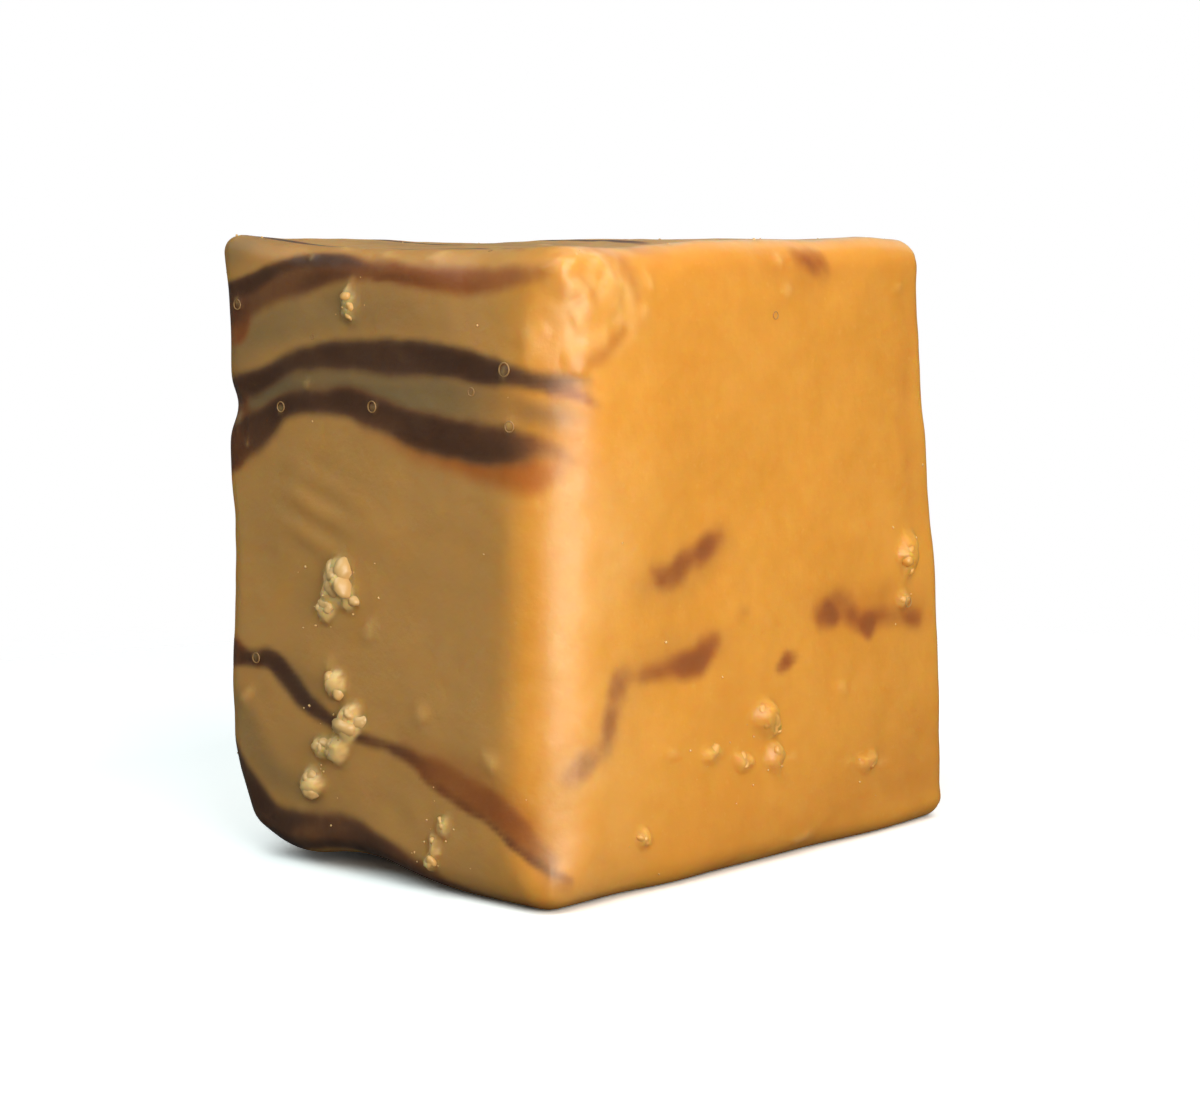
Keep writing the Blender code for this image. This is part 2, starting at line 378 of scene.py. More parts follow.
@dataclass(frozen=True)
class Mark:
    """One streak or smear along a side.

    Each point holds the place along the side and up it and the half-width there, in mm, then how
    dense the mark is and how red it is, from 0 to 1. A mark strays and thins out little where the
    knife cut through it, and more on the slab's own faces.
    """

    layer: Layer
    side: Side
    softness: float
    points: tuple[tuple[float, float, float, float, float], ...]
    ragged_cut: float = 0.09
    ragged_slab: float = 0.12
    blotches_cut: float = 0.18
    blotches_slab: float = 0.35

    @property
    def ragged(self) -> float:
        """How far the mark's edge strays, in mm."""
        return self.ragged_slab if self.side in SLAB_SIDES else self.ragged_cut

    @property
    def blotches(self) -> float:
        """How much thinner the mark is in places, from 0 to 1."""
        return self.blotches_slab if self.side in SLAB_SIDES else self.blotches_cut

    def line(self, steps: int = 8) -> Places:
        """Draws a smooth line through the mark's points, by Catmull and Rom's rule.

        Args:
            steps: how many points the line has for each of the mark's own.

        Returns:
            The line's points, with the same five values each.
        """
        rows = np.array(self.points, float)
        rows = np.concatenate([2 * rows[:1] - rows[1:2], rows, 2 * rows[-1:] - rows[-2:-1]])
        share = np.linspace(0, 1, steps, endpoint=False)[:, None]
        spans = []
        for before, first, second, after in zip(rows, rows[1:], rows[2:], rows[3:]):
            bend = (2 * before - 5 * first + 4 * second - after) * share**2
            twist = (3 * first - before - 3 * second + after) * share**3
            spans.append(0.5 * (2 * first + (second - before) * share + bend + twist))
        return np.concatenate(spans + [rows[-2:-1]])


def dark(side: Side, softness: float, *points: tuple[float, ...]) -> Mark:
    """A streak of chocolate."""
    return Mark(Layer.STREAK, side, softness, points)


def smear_and_shade(side: Side, softness: float, *points: tuple[float, ...]) -> Mark:
    """A thin haze of chocolate below the surface; a few of them are painted shade."""
    return Mark(Layer.SMEAR, side, softness, points)


# Five streaks from the top down, each with its thin strands, and then the hazes round them; the one along
# the top edge is partly painted shade.
STREAKED_MARKS = (
    dark(Side.STREAKED, 0.42, (11.6, 26.4, 1.0, 0.9, 0.15), (10.7, 26.85, 0.97, 0.86, 0.2),
         (8.7, 27.4, 0.94, 0.8, 0.25), (6.3, 28.2, 0.95, 0.76, 0.3), (4.4, 28.6, 0.85, 0.8, 0.3),
         (2.6, 28.7, 0.7, 0.8, 0.45), (1.1, 28.6, 0.55, 0.74, 0.6), (-0.6, 28.5, 0.55, 0.7, 0.8),
         (-2.0, 28.35, 0.52, 0.76, 0.85), (-4.2, 28.2, 0.62, 0.76, 0.95), (-7.0, 28.3, 0.62, 0.72, 1.0),
         (-9.2, 28.55, 0.4, 0.4, 1.0), (-10.2, 28.7, 0.3, 0.15, 1.0)),
    dark(Side.STREAKED, 0.26, (11.6, 27.0, 0.45, 1, 0), (10.7, 27.4, 0.42, 1, 0),
         (8.7, 28.0, 0.34, 1, 0), (6.3, 28.85, 0.26, 1, 0), (4.4, 29.1, 0.24, 0.95, 0),
         (2.6, 29.0, 0.22, 0.85, 0.2), (1.2, 28.75, 0.12, 0.5, 0.4)),
    dark(Side.STREAKED, 0.22, (0.6, 28.15, 0.09, 0.6, 0.6), (-1.2, 28.2, 0.1, 0.7, 0.6),
         (-3.2, 27.9, 0.06, 0.3, 0.8)),
    dark(Side.STREAKED, 0.42, (11.6, 22.3, 0.67, 1, 0), (10.4, 22.75, 0.63, 1, 0),
         (8, 23.35, 0.6, 1, 0), (6.1, 24.1, 0.57, 1, 0), (4, 24.5, 0.62, 1, 0), (0.2, 24.6, 0.77, 1, 0),
         (-2, 24.7, 0.81, 1, 0), (-4.2, 24.6, 0.77, 1, 0), (-6.3, 24.25, 0.65, 1, 0.05),
         (-8.2, 24, 0.52, 0.9, 0.1), (-9.4, 23.9, 0.46, 0.85, 0.15), (-10.1, 23.9, 0.4, 0.66, 0.2),
         (-10.8, 23.85, 0.3, 0.4, 0.3)),
    dark(Side.STREAKED, 0.44, (11.6, 19.7, 1.27, 1, 0.1), (10.6, 20.2, 1.27, 1, 0.15),
         (9.3, 20.65, 1.07, 0.95, 0.2), (8, 21.2, 0.85, 1, 0.1), (6.8, 22, 0.59, 1, 0.05),
         (4.9, 22.5, 0.63, 1, 0.05), (2.5, 22.55, 0.65, 1, 0.1), (1, 22.2, 0.81, 0.95, 0.2),
         (-0.5, 21.8, 0.79, 1, 0.15), (-3.4, 21.25, 0.87, 1, 0.15), (-6.3, 21, 0.87, 1, 0.2),
         (-8.2, 20.8, 0.77, 0.92, 0.25), (-9.3, 20.75, 0.47, 0.6, 0.3), (-9.9, 20.75, 0.27, 0.3, 0.4)),
    dark(Side.STREAKED, 0.34, (11.6, 10.2, 0.45, 1, 0.1), (10.7, 10.1, 0.48, 1, 0.1),
         (9.1, 9.8, 0.42, 0.95, 0.15), (7.5, 9.75, 0.54, 1, 0.1), (6.1, 9.0, 0.52, 1, 0),
         (4.9, 8.15, 0.46, 1, 0), (3.7, 7.6, 0.36, 1, 0.1), (2.4, 7.1, 0.28, 1, 0.2),
         (1.0, 6.75, 0.28, 1, 0.3), (-0.6, 6.55, 0.28, 0.95, 0.35), (-2.0, 6.35, 0.4, 0.85, 0.6),
         (-3.6, 5.85, 0.72, 0.68, 0.9), (-5.5, 5.1, 0.82, 0.68, 1.0), (-7.1, 4.6, 0.78, 0.7, 1.0),
         (-8.6, 3.7, 0.6, 0.68, 0.9), (-9.8, 2.6, 0.36, 0.6, 0.8)),
    dark(Side.STREAKED, 0.28, (-2.6, 5.6, 0.1, 0.5, 0.6), (-3.6, 5.1, 0.14, 0.8, 0.5),
         (-5.5, 4.25, 0.14, 0.85, 0.5), (-7.1, 3.75, 0.16, 0.9, 0.4), (-8.6, 2.95, 0.18, 0.95, 0.4),
         (-9.8, 2.15, 0.2, 0.9, 0.5), (-10.4, 1.7, 0.14, 0.5, 0.7)),
    dark(Side.STREAKED, 0.45, (10.6, 5.0, 0.7, 0.95, 0), (9.6, 3.7, 0.8, 1, 0), (8.4, 2.3, 1.0, 1, 0),
         (7.1, 1.9, 0.95, 0.85, 0.1), (4.5, 2.0, 1.0, 0.72, 0.2), (2.4, 2.1, 0.9, 0.76, 0.2),
         (0.7, 1.75, 0.66, 0.9, 0.1), (-0.6, 1.5, 0.6, 0.85, 0.2), (-2.2, 1.1, 0.5, 0.8, 0.3),
         (-3.9, 0.6, 0.35, 0.7, 0.4), (-6.2, 0.25, 0.2, 0.5, 0.5)),
    dark(Side.STREAKED, 0.4, (8.0, 1.6, 0.4, 0.9, 0), (6.0, 2.4, 0.3, 0.7, 0),
         (4.6, 2.5, 0.25, 0.5, 0.1)),
    dark(Side.STREAKED, 0.3, (6.4, 1.1, 0.3, 0.7, 0), (3.8, 1.4, 0.25, 0.8, 0),
         (1.4, 1.3, 0.3, 0.85, 0), (-0.8, 1.0, 0.3, 0.7, 0.1), (-3.2, 0.5, 0.2, 0.5, 0.3)),
    smear_and_shade(Side.STREAKED, 0.45, (11.4, 21.4, 0.6, 0.95, 0), (9.2, 22.2, 0.6, 0.95, 0),
          (6.4, 23.15, 0.6, 0.95, 0), (4.1, 23.5, 0.6, 0.9, 0), (1.2, 23.4, 0.7, 0.85, 0),
          (-1.2, 23.2, 1.0, 0.8, 0), (-4.2, 22.9, 1.0, 0.7, 0), (-7.0, 22.65, 0.8, 0.45, 0.3),
          (-8.8, 22.6, 0.5, 0.2, 0.5)),
    smear_and_shade(Side.STREAKED, 1.0, (11.4, 24.8, 1.2, 0.65, 0), (7.4, 26.0, 1.2, 0.6, 0),
          (3.0, 26.6, 1.2, 0.52, 0), (-1.4, 26.6, 1.1, 0.38, 0.1), (-4.4, 26.5, 0.8, 0.15, 0.3)),
    smear_and_shade(Side.STREAKED, 0.5, (1.0, 21.2, 0.2, 0.3, 1), (-1.2, 20.75, 0.4, 0.5, 1),
          (-3.4, 20.3, 0.45, 0.7, 1), (-5.5, 19.95, 0.5, 0.85, 1), (-7.6, 19.7, 0.6, 1, 1),
          (-8.9, 19.7, 0.7, 1, 1), (-9.8, 20.0, 0.45, 0.6, 1)),
    smear_and_shade(Side.STREAKED, 0.7, (-1.6, 6.8, 0.4, 0.3, 0.7), (-3.6, 6.4, 0.7, 0.5, 0.8),
          (-6.0, 5.6, 0.9, 0.55, 0.9), (-8.6, 4.2, 0.7, 0.5, 1.0), (-9.8, 3.0, 0.4, 0.4, 1.0)),
    smear_and_shade(Side.STREAKED, 0.8, (11.0, 8.2, 0.8, 0.4, 0), (9.4, 6.2, 1.0, 0.5, 0),
          (7.6, 4.4, 0.8, 0.5, 0), (4.4, 3.4, 0.5, 0.35, 0.1), (0.4, 2.8, 0.3, 0.2, 0.3)),
    smear_and_shade(Side.STREAKED, 0.5, (6.6, 9.9, 0.3, 0.4, 0.2), (4.9, 9.0, 0.4, 0.5, 0.2),
          (3.2, 8.2, 0.3, 0.3, 0.3)),
    # Partly painted shade: this haze darkens the top corner of the streaked side, over the purple-brown
    # line along its top edge.
    smear_and_shade(Side.STREAKED, 0.8, (11.4, 29.2, 0.9, 0.7, 0), (9.4, 29.9, 0.8, 0.6, 0),
          (6.4, 30.2, 0.6, 0.5, 0.2), (2.4, 30.0, 0.4, 0.4, 0.4), (-3.2, 29.8, 0.3, 0.3, 0.8)),
    smear_and_shade(Side.STREAKED, 0.5, (10.9, 19.0, 0.4, 0.5, 0.7), (8.8, 19.8, 0.3, 0.4, 0.7),
          (7.4, 20.8, 0.2, 0.3, 0.7)),
)

# The ends of the streaks that turn round the worn edge, the short marks on the slab's own face,
# and then the hazes, among them the brown gaps in the rough patch. The last three hazes are
# painted shade along the top, the far edge and the foot of the broad side.
BROAD_MARKS = (
    dark(Side.BROAD, 0.4, (-13.4, 23.4, 0.2, 0.5, 1), (-12.8, 23.3, 0.3, 0.75, 1),
         (-12.2, 23.0, 0.3, 0.8, 1), (-11.7, 22.7, 0.2, 0.4, 1)),
    dark(Side.BROAD, 0.4, (-13.9, 21, 0.3, 0.5, 1), (-13.2, 20.7, 0.3, 0.5, 1),
         (-12.7, 20.3, 0.2, 0.3, 1)),
    dark(Side.BROAD, 0.6, (-7.8, 15.2, 0.39, 0.5, 0.93), (-6.9, 14.7, 0.67, 0.8, 0.89),
         (-6.1, 14.75, 0.64, 1, 0.84), (-5.2, 15.3, 0.57, 1, 0.84), (-3.9, 15.85, 0.55, 0.8, 0.89),
         (-3.2, 16.2, 0.51, 0.6, 0.98)),
    dark(Side.BROAD, 0.6, (-3.5, 11.2, 0.51, 0.7, 0.98), (-4.5, 10.5, 0.64, 0.9, 0.93),
         (-6.4, 10.35, 0.57, 0.7, 0.98), (-8.2, 10.35, 0.51, 0.65, 0.98), (-9.2, 10.4, 0.37, 0.35, 1)),
    dark(Side.BROAD, 0.6, (-9.7, 10.4, 0.51, 0.7, 0.93), (-10.05, 10, 0.64, 1, 0.89),
         (-10.2, 9.1, 0.57, 0.8, 0.93), (-10.9, 7.6, 0.55, 0.75, 0.93), (-11.4, 7.1, 0.33, 0.3, 0.98)),
    dark(Side.BROAD, 0.55, (-11.8, 7, 0.46, 0.6, 0.98), (-12.2, 6.75, 0.53, 0.85, 0.93),
         (-12.9, 6.2, 0.51, 0.8, 0.98)),
    dark(Side.BROAD, 0.6, (4.9, 11.8, 0.62, 0.67, 0.98), (5.9, 12, 0.86, 0.84, 0.93),
         (6.7, 12, 0.73, 0.76, 0.98), (7.7, 11.35, 0.57, 0.67, 1), (8.6, 11.1, 0.62, 0.71, 1),
         (10.5, 11.2, 0.48, 0.71, 0.98), (12, 10.95, 0.51, 0.71, 0.98), (13.2, 10.65, 0.51, 0.59, 1)),
    dark(Side.BROAD, 0.4, (8.7, 10.9, 0.51, 0.7, 1), (8.8, 10.45, 0.42, 0.6, 1)),
    dark(Side.BROAD, 0.36, (1.5, 9.5, 0.39, 0.7, 1), (2.1, 9.8, 0.46, 0.85, 1),
         (2.7, 10, 0.3, 0.4, 1)),
    dark(Side.BROAD, 0.55, (-1.4, 12.2, 0.39, 0.3, 1), (-1.2, 12.5, 0.51, 0.3, 1)),
    dark(Side.BROAD, 0.5, (3.2, 29.3, 0.51, 0.5, 1), (4.2, 29.05, 0.62, 0.7, 1),
         (4.9, 28.8, 0.64, 0.8, 1), (5.2, 28.3, 0.39, 0.4, 1)),
    dark(Side.BROAD, 0.6, (-13.7, 1.7, 0.45, 0.6, 1), (-13.3, 1.35, 0.45, 0.5, 1)),
    smear_and_shade(Side.BROAD, 1.0, (-8.2, 14.2, 0.7, 0.3, 0.4), (-5.4, 14.8, 1.1, 0.36, 0.4),
          (-2.8, 15.8, 0.7, 0.24, 0.4)),
    smear_and_shade(Side.BROAD, 1.0, (-3.0, 11.0, 0.7, 0.25, 0.6), (-8.6, 10.8, 0.9, 0.3, 0.6),
          (-11.0, 8.0, 0.8, 0.26, 0.6), (-13.0, 6.2, 0.6, 0.2, 0.6)),
    smear_and_shade(Side.BROAD, 1.0, (4.2, 12.2, 0.8, 0.25, 0.9), (9.0, 11.9, 0.9, 0.35, 0.9),
          (13.6, 11.0, 0.8, 0.35, 0.9)),
    smear_and_shade(Side.BROAD, 0.7, (-14.2, 22.4, 0.7, 0.8, 0.2), (-13.4, 22.2, 0.6, 0.7, 0.3),
          (-12.4, 22.0, 0.3, 0.3, 0.5)),
    smear_and_shade(Side.BROAD, 0.5, (-12.4, 24.7, 0.2, 0.5, 0.9), (-11.2, 25.0, 0.3, 0.7, 0.9),
          (-9.9, 25.9, 0.2, 0.6, 0.9)),
    smear_and_shade(Side.BROAD, 0.5, (-10.8, 29.6, 0.3, 0.6, 0.9), (-9.6, 28.9, 0.35, 0.75, 0.9),
          (-8.9, 27.6, 0.25, 0.6, 0.9), (-9.1, 26.6, 0.15, 0.4, 0.9)),
    smear_and_shade(Side.BROAD, 0.4, (-12.6, 28.4, 0.1, 0.5, 0.9), (-11.9, 27.6, 0.2, 0.6, 0.9),
          (-12.2, 26.6, 0.1, 0.5, 0.9)),
    smear_and_shade(Side.BROAD, 0.5, (-8.2, 29.5, 0.3, 0.5, 0.9), (-6.4, 29.3, 0.3, 0.35, 0.9)),
    # Painted shade: darkens the top of the broad side, where the piece above shaded it.
    smear_and_shade(Side.BROAD, 1.0, (-2.4, 29.4, 0.4, 0.2, 0.9), (3.4, 28.6, 0.8, 0.3, 0.9),
          (6.4, 28.4, 0.5, 0.2, 0.9)),
    # Painted shadow: a dark band down the far edge of the broad side, where the neighbouring piece shaded
    # it.
    smear_and_shade(Side.BROAD, 0.8, (12.6, 27.0, 0.3, 0.2, 1), (12.3, 21.0, 0.4, 0.28, 1),
          (12.9, 15.4, 0.3, 0.22, 1)),
    # Painted shade: the broad side darker towards its foot, where its light falls off.
    smear_and_shade(Side.BROAD, 2.0, (-6.0, 1.6, 1.2, 0.14, 0.9), (4.0, 1.8, 1.8, 0.2, 0.9),
          (13.2, 3.2, 2.4, 0.26, 0.9)),
)

# The streaks of the sides that were seen, carried on round the edges of the others.
RIGHT_MARKS = (
    dark(Side.RIGHT, 0.3, (-9.2, 24.4, 0.2, 0.5, 0.5), (-7.2, 24.9, 0.5, 0.95, 0.2),
         (-2.6, 26.0, 0.8, 1, 0.1), (2.4, 26.2, 0.7, 1, 0.1), (6.6, 25.2, 0.85, 1, 0.1),
         (11.2, 23.6, 0.7, 0.9, 0.3)),
    dark(Side.RIGHT, 0.3, (-9.8, 18.0, 0.3, 0.5, 0.9), (-5.6, 19.2, 0.5, 0.9, 0.4),
         (-0.6, 20.3, 0.45, 1, 0.2), (4.2, 20.1, 0.7, 1, 0.1), (8.2, 18.7, 0.9, 0.95, 0.2),
         (11.2, 17.6, 1.0, 0.9, 0.2)),
    dark(Side.RIGHT, 0.3, (-10.6, 10.9, 0.3, 0.6, 0.5), (-7.6, 11.6, 0.5, 0.8, 0.6),
         (-4.2, 11.0, 0.7, 0.75, 0.8), (-0.8, 9.2, 0.6, 0.85, 0.5), (2.8, 8.2, 0.4, 1, 0.1),
         (7.4, 8.6, 0.5, 1, 0.1), (11.2, 9.4, 0.6, 0.9, 0.2)),
    dark(Side.RIGHT, 0.5, (-4.4, 2.2, 0.4, 0.5, 0.6), (0.4, 2.9, 0.9, 0.8, 0.2),
         (5.4, 2.4, 1.1, 0.9, 0.1), (9.4, 3.5, 0.8, 0.8, 0.2), (11.2, 4.3, 0.5, 0.7, 0.4)),
    smear_and_shade(Side.RIGHT, 1.0, (-3.4, 23.2, 0.8, 0.4, 0.1), (2.6, 23.6, 0.9, 0.4, 0.1),
          (8.2, 22.2, 0.8, 0.35, 0.2)),
    smear_and_shade(Side.RIGHT, 0.9, (-7.4, 10.6, 0.9, 0.5, 1.0), (-3.2, 9.6, 1.0, 0.5, 1.0),
          (0.6, 8.0, 0.6, 0.4, 1.0)),
)

BACK_MARKS = (
    dark(Side.BACK, 0.32, (-14.8, 26.3, 1.34, 1, 0.8), (-12.6, 26, 1.12, 0.9, 0.84),
         (-10.4, 26.4, 0.78, 0.75, 0.93), (-8.2, 26.1, 0.56, 0.5, 1)),
    dark(Side.BACK, 0.32, (-14.8, 22.4, 0.78, 1, 0.8), (-12.4, 21.8, 0.78, 0.9, 0.89),
         (-9.4, 21.9, 0.61, 0.7, 1)),
    dark(Side.BACK, 0.36, (-14.8, 20, 1.17, 1, 0.8), (-12, 19.4, 0.89, 0.85, 0.89),
         (-10.2, 18.2, 0.56, 0.5, 1)),
    dark(Side.BACK, 0.36, (-14.8, 10.3, 0.61, 0.9, 0.84), (-12.2, 9.4, 0.78, 0.8, 0.89),
         (-9, 9.6, 0.56, 0.6, 1), (-6.4, 8.6, 0.45, 0.4, 1)),
    dark(Side.BACK, 0.45, (-4.2, 15.6, 0.45, 0.5, 1), (-2.2, 16.4, 0.78, 0.7, 0.98),
         (0.4, 16, 0.61, 0.65, 0.98), (2.2, 17.2, 0.5, 0.5, 1)),
    dark(Side.BACK, 0.55, (3.4, 9.2, 0.45, 0.4, 1), (5, 8.4, 0.67, 0.75, 0.93),
         (7.6, 8.8, 0.56, 0.7, 0.98), (9.4, 7.9, 0.45, 0.5, 1)),
    dark(Side.BACK, 0.55, (15, 23.6, 0.89, 0.9, 0.84), (12.6, 23.2, 0.89, 0.85, 0.89),
         (9.8, 22.2, 0.56, 0.6, 1)),
    dark(Side.BACK, 0.55, (15.2, 17.5, 1.23, 0.9, 0.84), (13, 17.2, 0.78, 0.8, 0.93),
         (11.2, 16.2, 0.45, 0.5, 1)),
    dark(Side.BACK, 0.4, (15.0, 9.5, 0.55, 0.9, 0.6), (13.4, 9.9, 0.5, 0.7, 0.75),
         (11.8, 9.5, 0.35, 0.4, 0.9)),
    dark(Side.BACK, 0.4, (14.9, 4.4, 0.5, 0.7, 0.7), (13.4, 5.0, 0.4, 0.5, 0.8),
         (12.2, 4.8, 0.25, 0.3, 0.9)),
    dark(Side.BACK, 0.4, (-5.4, 29.8, 0.5, 0.9, 0.6), (-5.9, 28.4, 0.5, 0.75, 0.7),
         (-6.8, 27.2, 0.3, 0.4, 0.9)),
    dark(Side.BACK, 0.4, (7.4, 29.8, 0.6, 0.9, 0.6), (7.9, 28.2, 0.55, 0.75, 0.7),
         (7.3, 26.8, 0.3, 0.4, 0.9)),
    dark(Side.BACK, 0.45, (-4.6, 4.2, 0.45, 0.4, 1), (-2.4, 4.8, 0.61, 0.6, 1),
         (-0.6, 4.4, 0.45, 0.5, 1)),
    smear_and_shade(Side.BACK, 1.2, (-14.2, 23.8, 1.6, 0.4, 0.3), (-10.4, 23.8, 1.2, 0.3, 0.5)),
    smear_and_shade(Side.BACK, 1.2, (-3.8, 16.0, 0.9, 0.25, 0.8), (2.2, 16.6, 0.8, 0.2, 0.8)),
    smear_and_shade(Side.BACK, 1.2, (4.0, 8.9, 0.8, 0.25, 0.8), (9.2, 8.3, 0.7, 0.2, 0.8)),
)

TOP_MARKS = (
    dark(Side.TOP, 0.3, (-12.9, -7.4, 0.2, 0.3, 0.9), (-11.6, -5.2, 0.5, 0.8, 0.5),
         (-10.2, -1.6, 0.9, 1, 0.1), (-10.4, 2.6, 0.8, 1, 0.1), (-11.8, 6.4, 1.0, 1, 0.1),
         (-12.8, 10.6, 0.9, 0.9, 0.2)),
    dark(Side.TOP, 0.3, (-6.4, -9.2, 0.2, 0.4, 0.9), (-4.8, -7.0, 0.5, 0.9, 0.4),
         (-3.2, -2.6, 0.5, 1, 0.1), (-2.6, 2.2, 0.7, 1, 0.1), (-3.8, 6.6, 0.6, 1, 0.1),
         (-5.4, 11.0, 0.5, 0.9, 0.3)),
    dark(Side.TOP, 0.3, (-0.6, -7.8, 0.3, 0.5, 0.8), (0.4, -4.4, 0.4, 0.9, 0.3),
         (0.6, 0.6, 0.4, 1, 0.1), (0.2, 4.6, 0.35, 0.9, 0.3), (-0.6, 7.2, 0.3, 0.5, 0.7)),
    dark(Side.TOP, 0.32, (8.6, -9.0, 0.3, 0.5, 0.9), (8.2, -6.8, 0.7, 0.75, 0.85),
         (7.0, -3.0, 0.8, 0.8, 0.7), (5.8, 0.8, 0.5, 0.95, 0.3), (5.6, 4.8, 0.6, 1, 0.1),
         (6.8, 8.4, 0.8, 0.95, 0.1), (7.4, 11.0, 0.7, 0.9, 0.2)),
    dark(Side.TOP, 0.5, (12.4, -2.8, 0.3, 0.4, 0.8), (12.0, 1.6, 0.6, 0.8, 0.3),
         (12.6, 6.2, 0.8, 0.8, 0.2)),
    smear_and_shade(Side.TOP, 1.0, (-6.8, -4.2, 0.8, 0.35, 0.2), (-5.8, 1.6, 1.0, 0.4, 0.1),
          (-7.2, 7.6, 0.9, 0.35, 0.2)),
    smear_and_shade(Side.TOP, 1.0, (8.2, -7.6, 0.8, 0.4, 1.0), (6.8, -2.6, 1.1, 0.5, 1.0),
          (5.6, 1.8, 0.7, 0.4, 0.8)),
)

BOTTOM_MARKS = (
    dark(Side.BOTTOM, 0.5, (-13.6, 7.6, 1.4, 0.9, 0.1), (-10.6, 5.2, 1.2, 0.9, 0.1),
         (-8.2, 1.2, 0.9, 0.9, 0.2), (-8.6, -4.2, 0.6, 0.7, 0.5), (-10.4, -9.6, 0.4, 0.6, 0.6)),
    dark(Side.BOTTOM, 0.35, (-1.6, 10.4, 0.6, 0.9, 0.2), (-0.4, 5.2, 0.5, 1, 0.1),
         (-0.8, 0.4, 0.6, 1, 0.1), (-2.2, -4.8, 0.4, 0.8, 0.4), (-2.6, -9.4, 0.3, 0.5, 0.7)),
    dark(Side.BOTTOM, 0.4, (7.4, 9.6, 0.7, 0.9, 0.2), (6.4, 4.4, 0.9, 0.8, 0.6),
         (6.8, -1.2, 0.6, 0.9, 0.3), (8.8, -6.6, 0.4, 0.8, 0.4)),
)


@dataclass(frozen=True)
class Crumb:
    """A crumb of set sugar: its place and sizes in mm, its turn in degrees and how pale it is."""

    side: Side
    along: float
    up: float
    length: float
    breadth: float
    turn: float
    paleness: float = 1.0


def crumbs_on(side: Side, *rows: tuple[float, ...]) -> tuple[Crumb, ...]:
    """The crumbs of one side, from rows of place, sizes and turn."""
    return tuple(Crumb(side, *row) for row in rows)


# The crumbs that stand well out, with their kernels.
PLACED_CRUMBS = (
    *crumbs_on(Side.STREAKED, (2.1, 27.0, 1.9, 1.0, 4, 0.5), (2.9, 14.1, 2.5, 1.8, -10),
               (3.6, 12.9, 1.7, 1.2, -30), (2.2, 13.3, 1.3, 1.0, 20), (3.1, 9.2, 1.3, 1.4, 0, 0.9),
               (2.1, 7.4, 2.3, 1.7, -8), (2.9, 6.2, 1.4, 1.8, 30), (3.9, 6.1, 1.2, 1.3, 0),
               (4.8, 4.2, 1.5, 1.6, 0, 0.9), (-3.95, 3.35, 1.1, 0.8, 20, 0.6),
               (-3.4, 2.4, 1.2, 0.7, 25, 0.6), (-3.05, 1.6, 1.0, 0.9, 10, 0.6)),
    *crumbs_on(Side.BROAD, (12.2, 14.1, 2.5, 1.5, 8, 0.08), (11.8, 11.8, 1.0, 1.0, 0, 0.3),
               (0.4, 7.3, 1.6, 1.6, 25, 0.2), (1.0, 6.7, 1.2, 1.4, 0, 0.2),
               (-3.3, 6.0, 1.1, 1.5, 0, 0.24), (-1.0, 5.4, 1.0, 1.4, 0, 0.3),
               (1.2, 5.2, 1.0, 1.5, 80, 0.26), (8.6, 3.9, 0.85, 1.6, 0, 0.28),
               (-8.3, 2.85, 0.9, 1.1, 0, 0.22)),
)

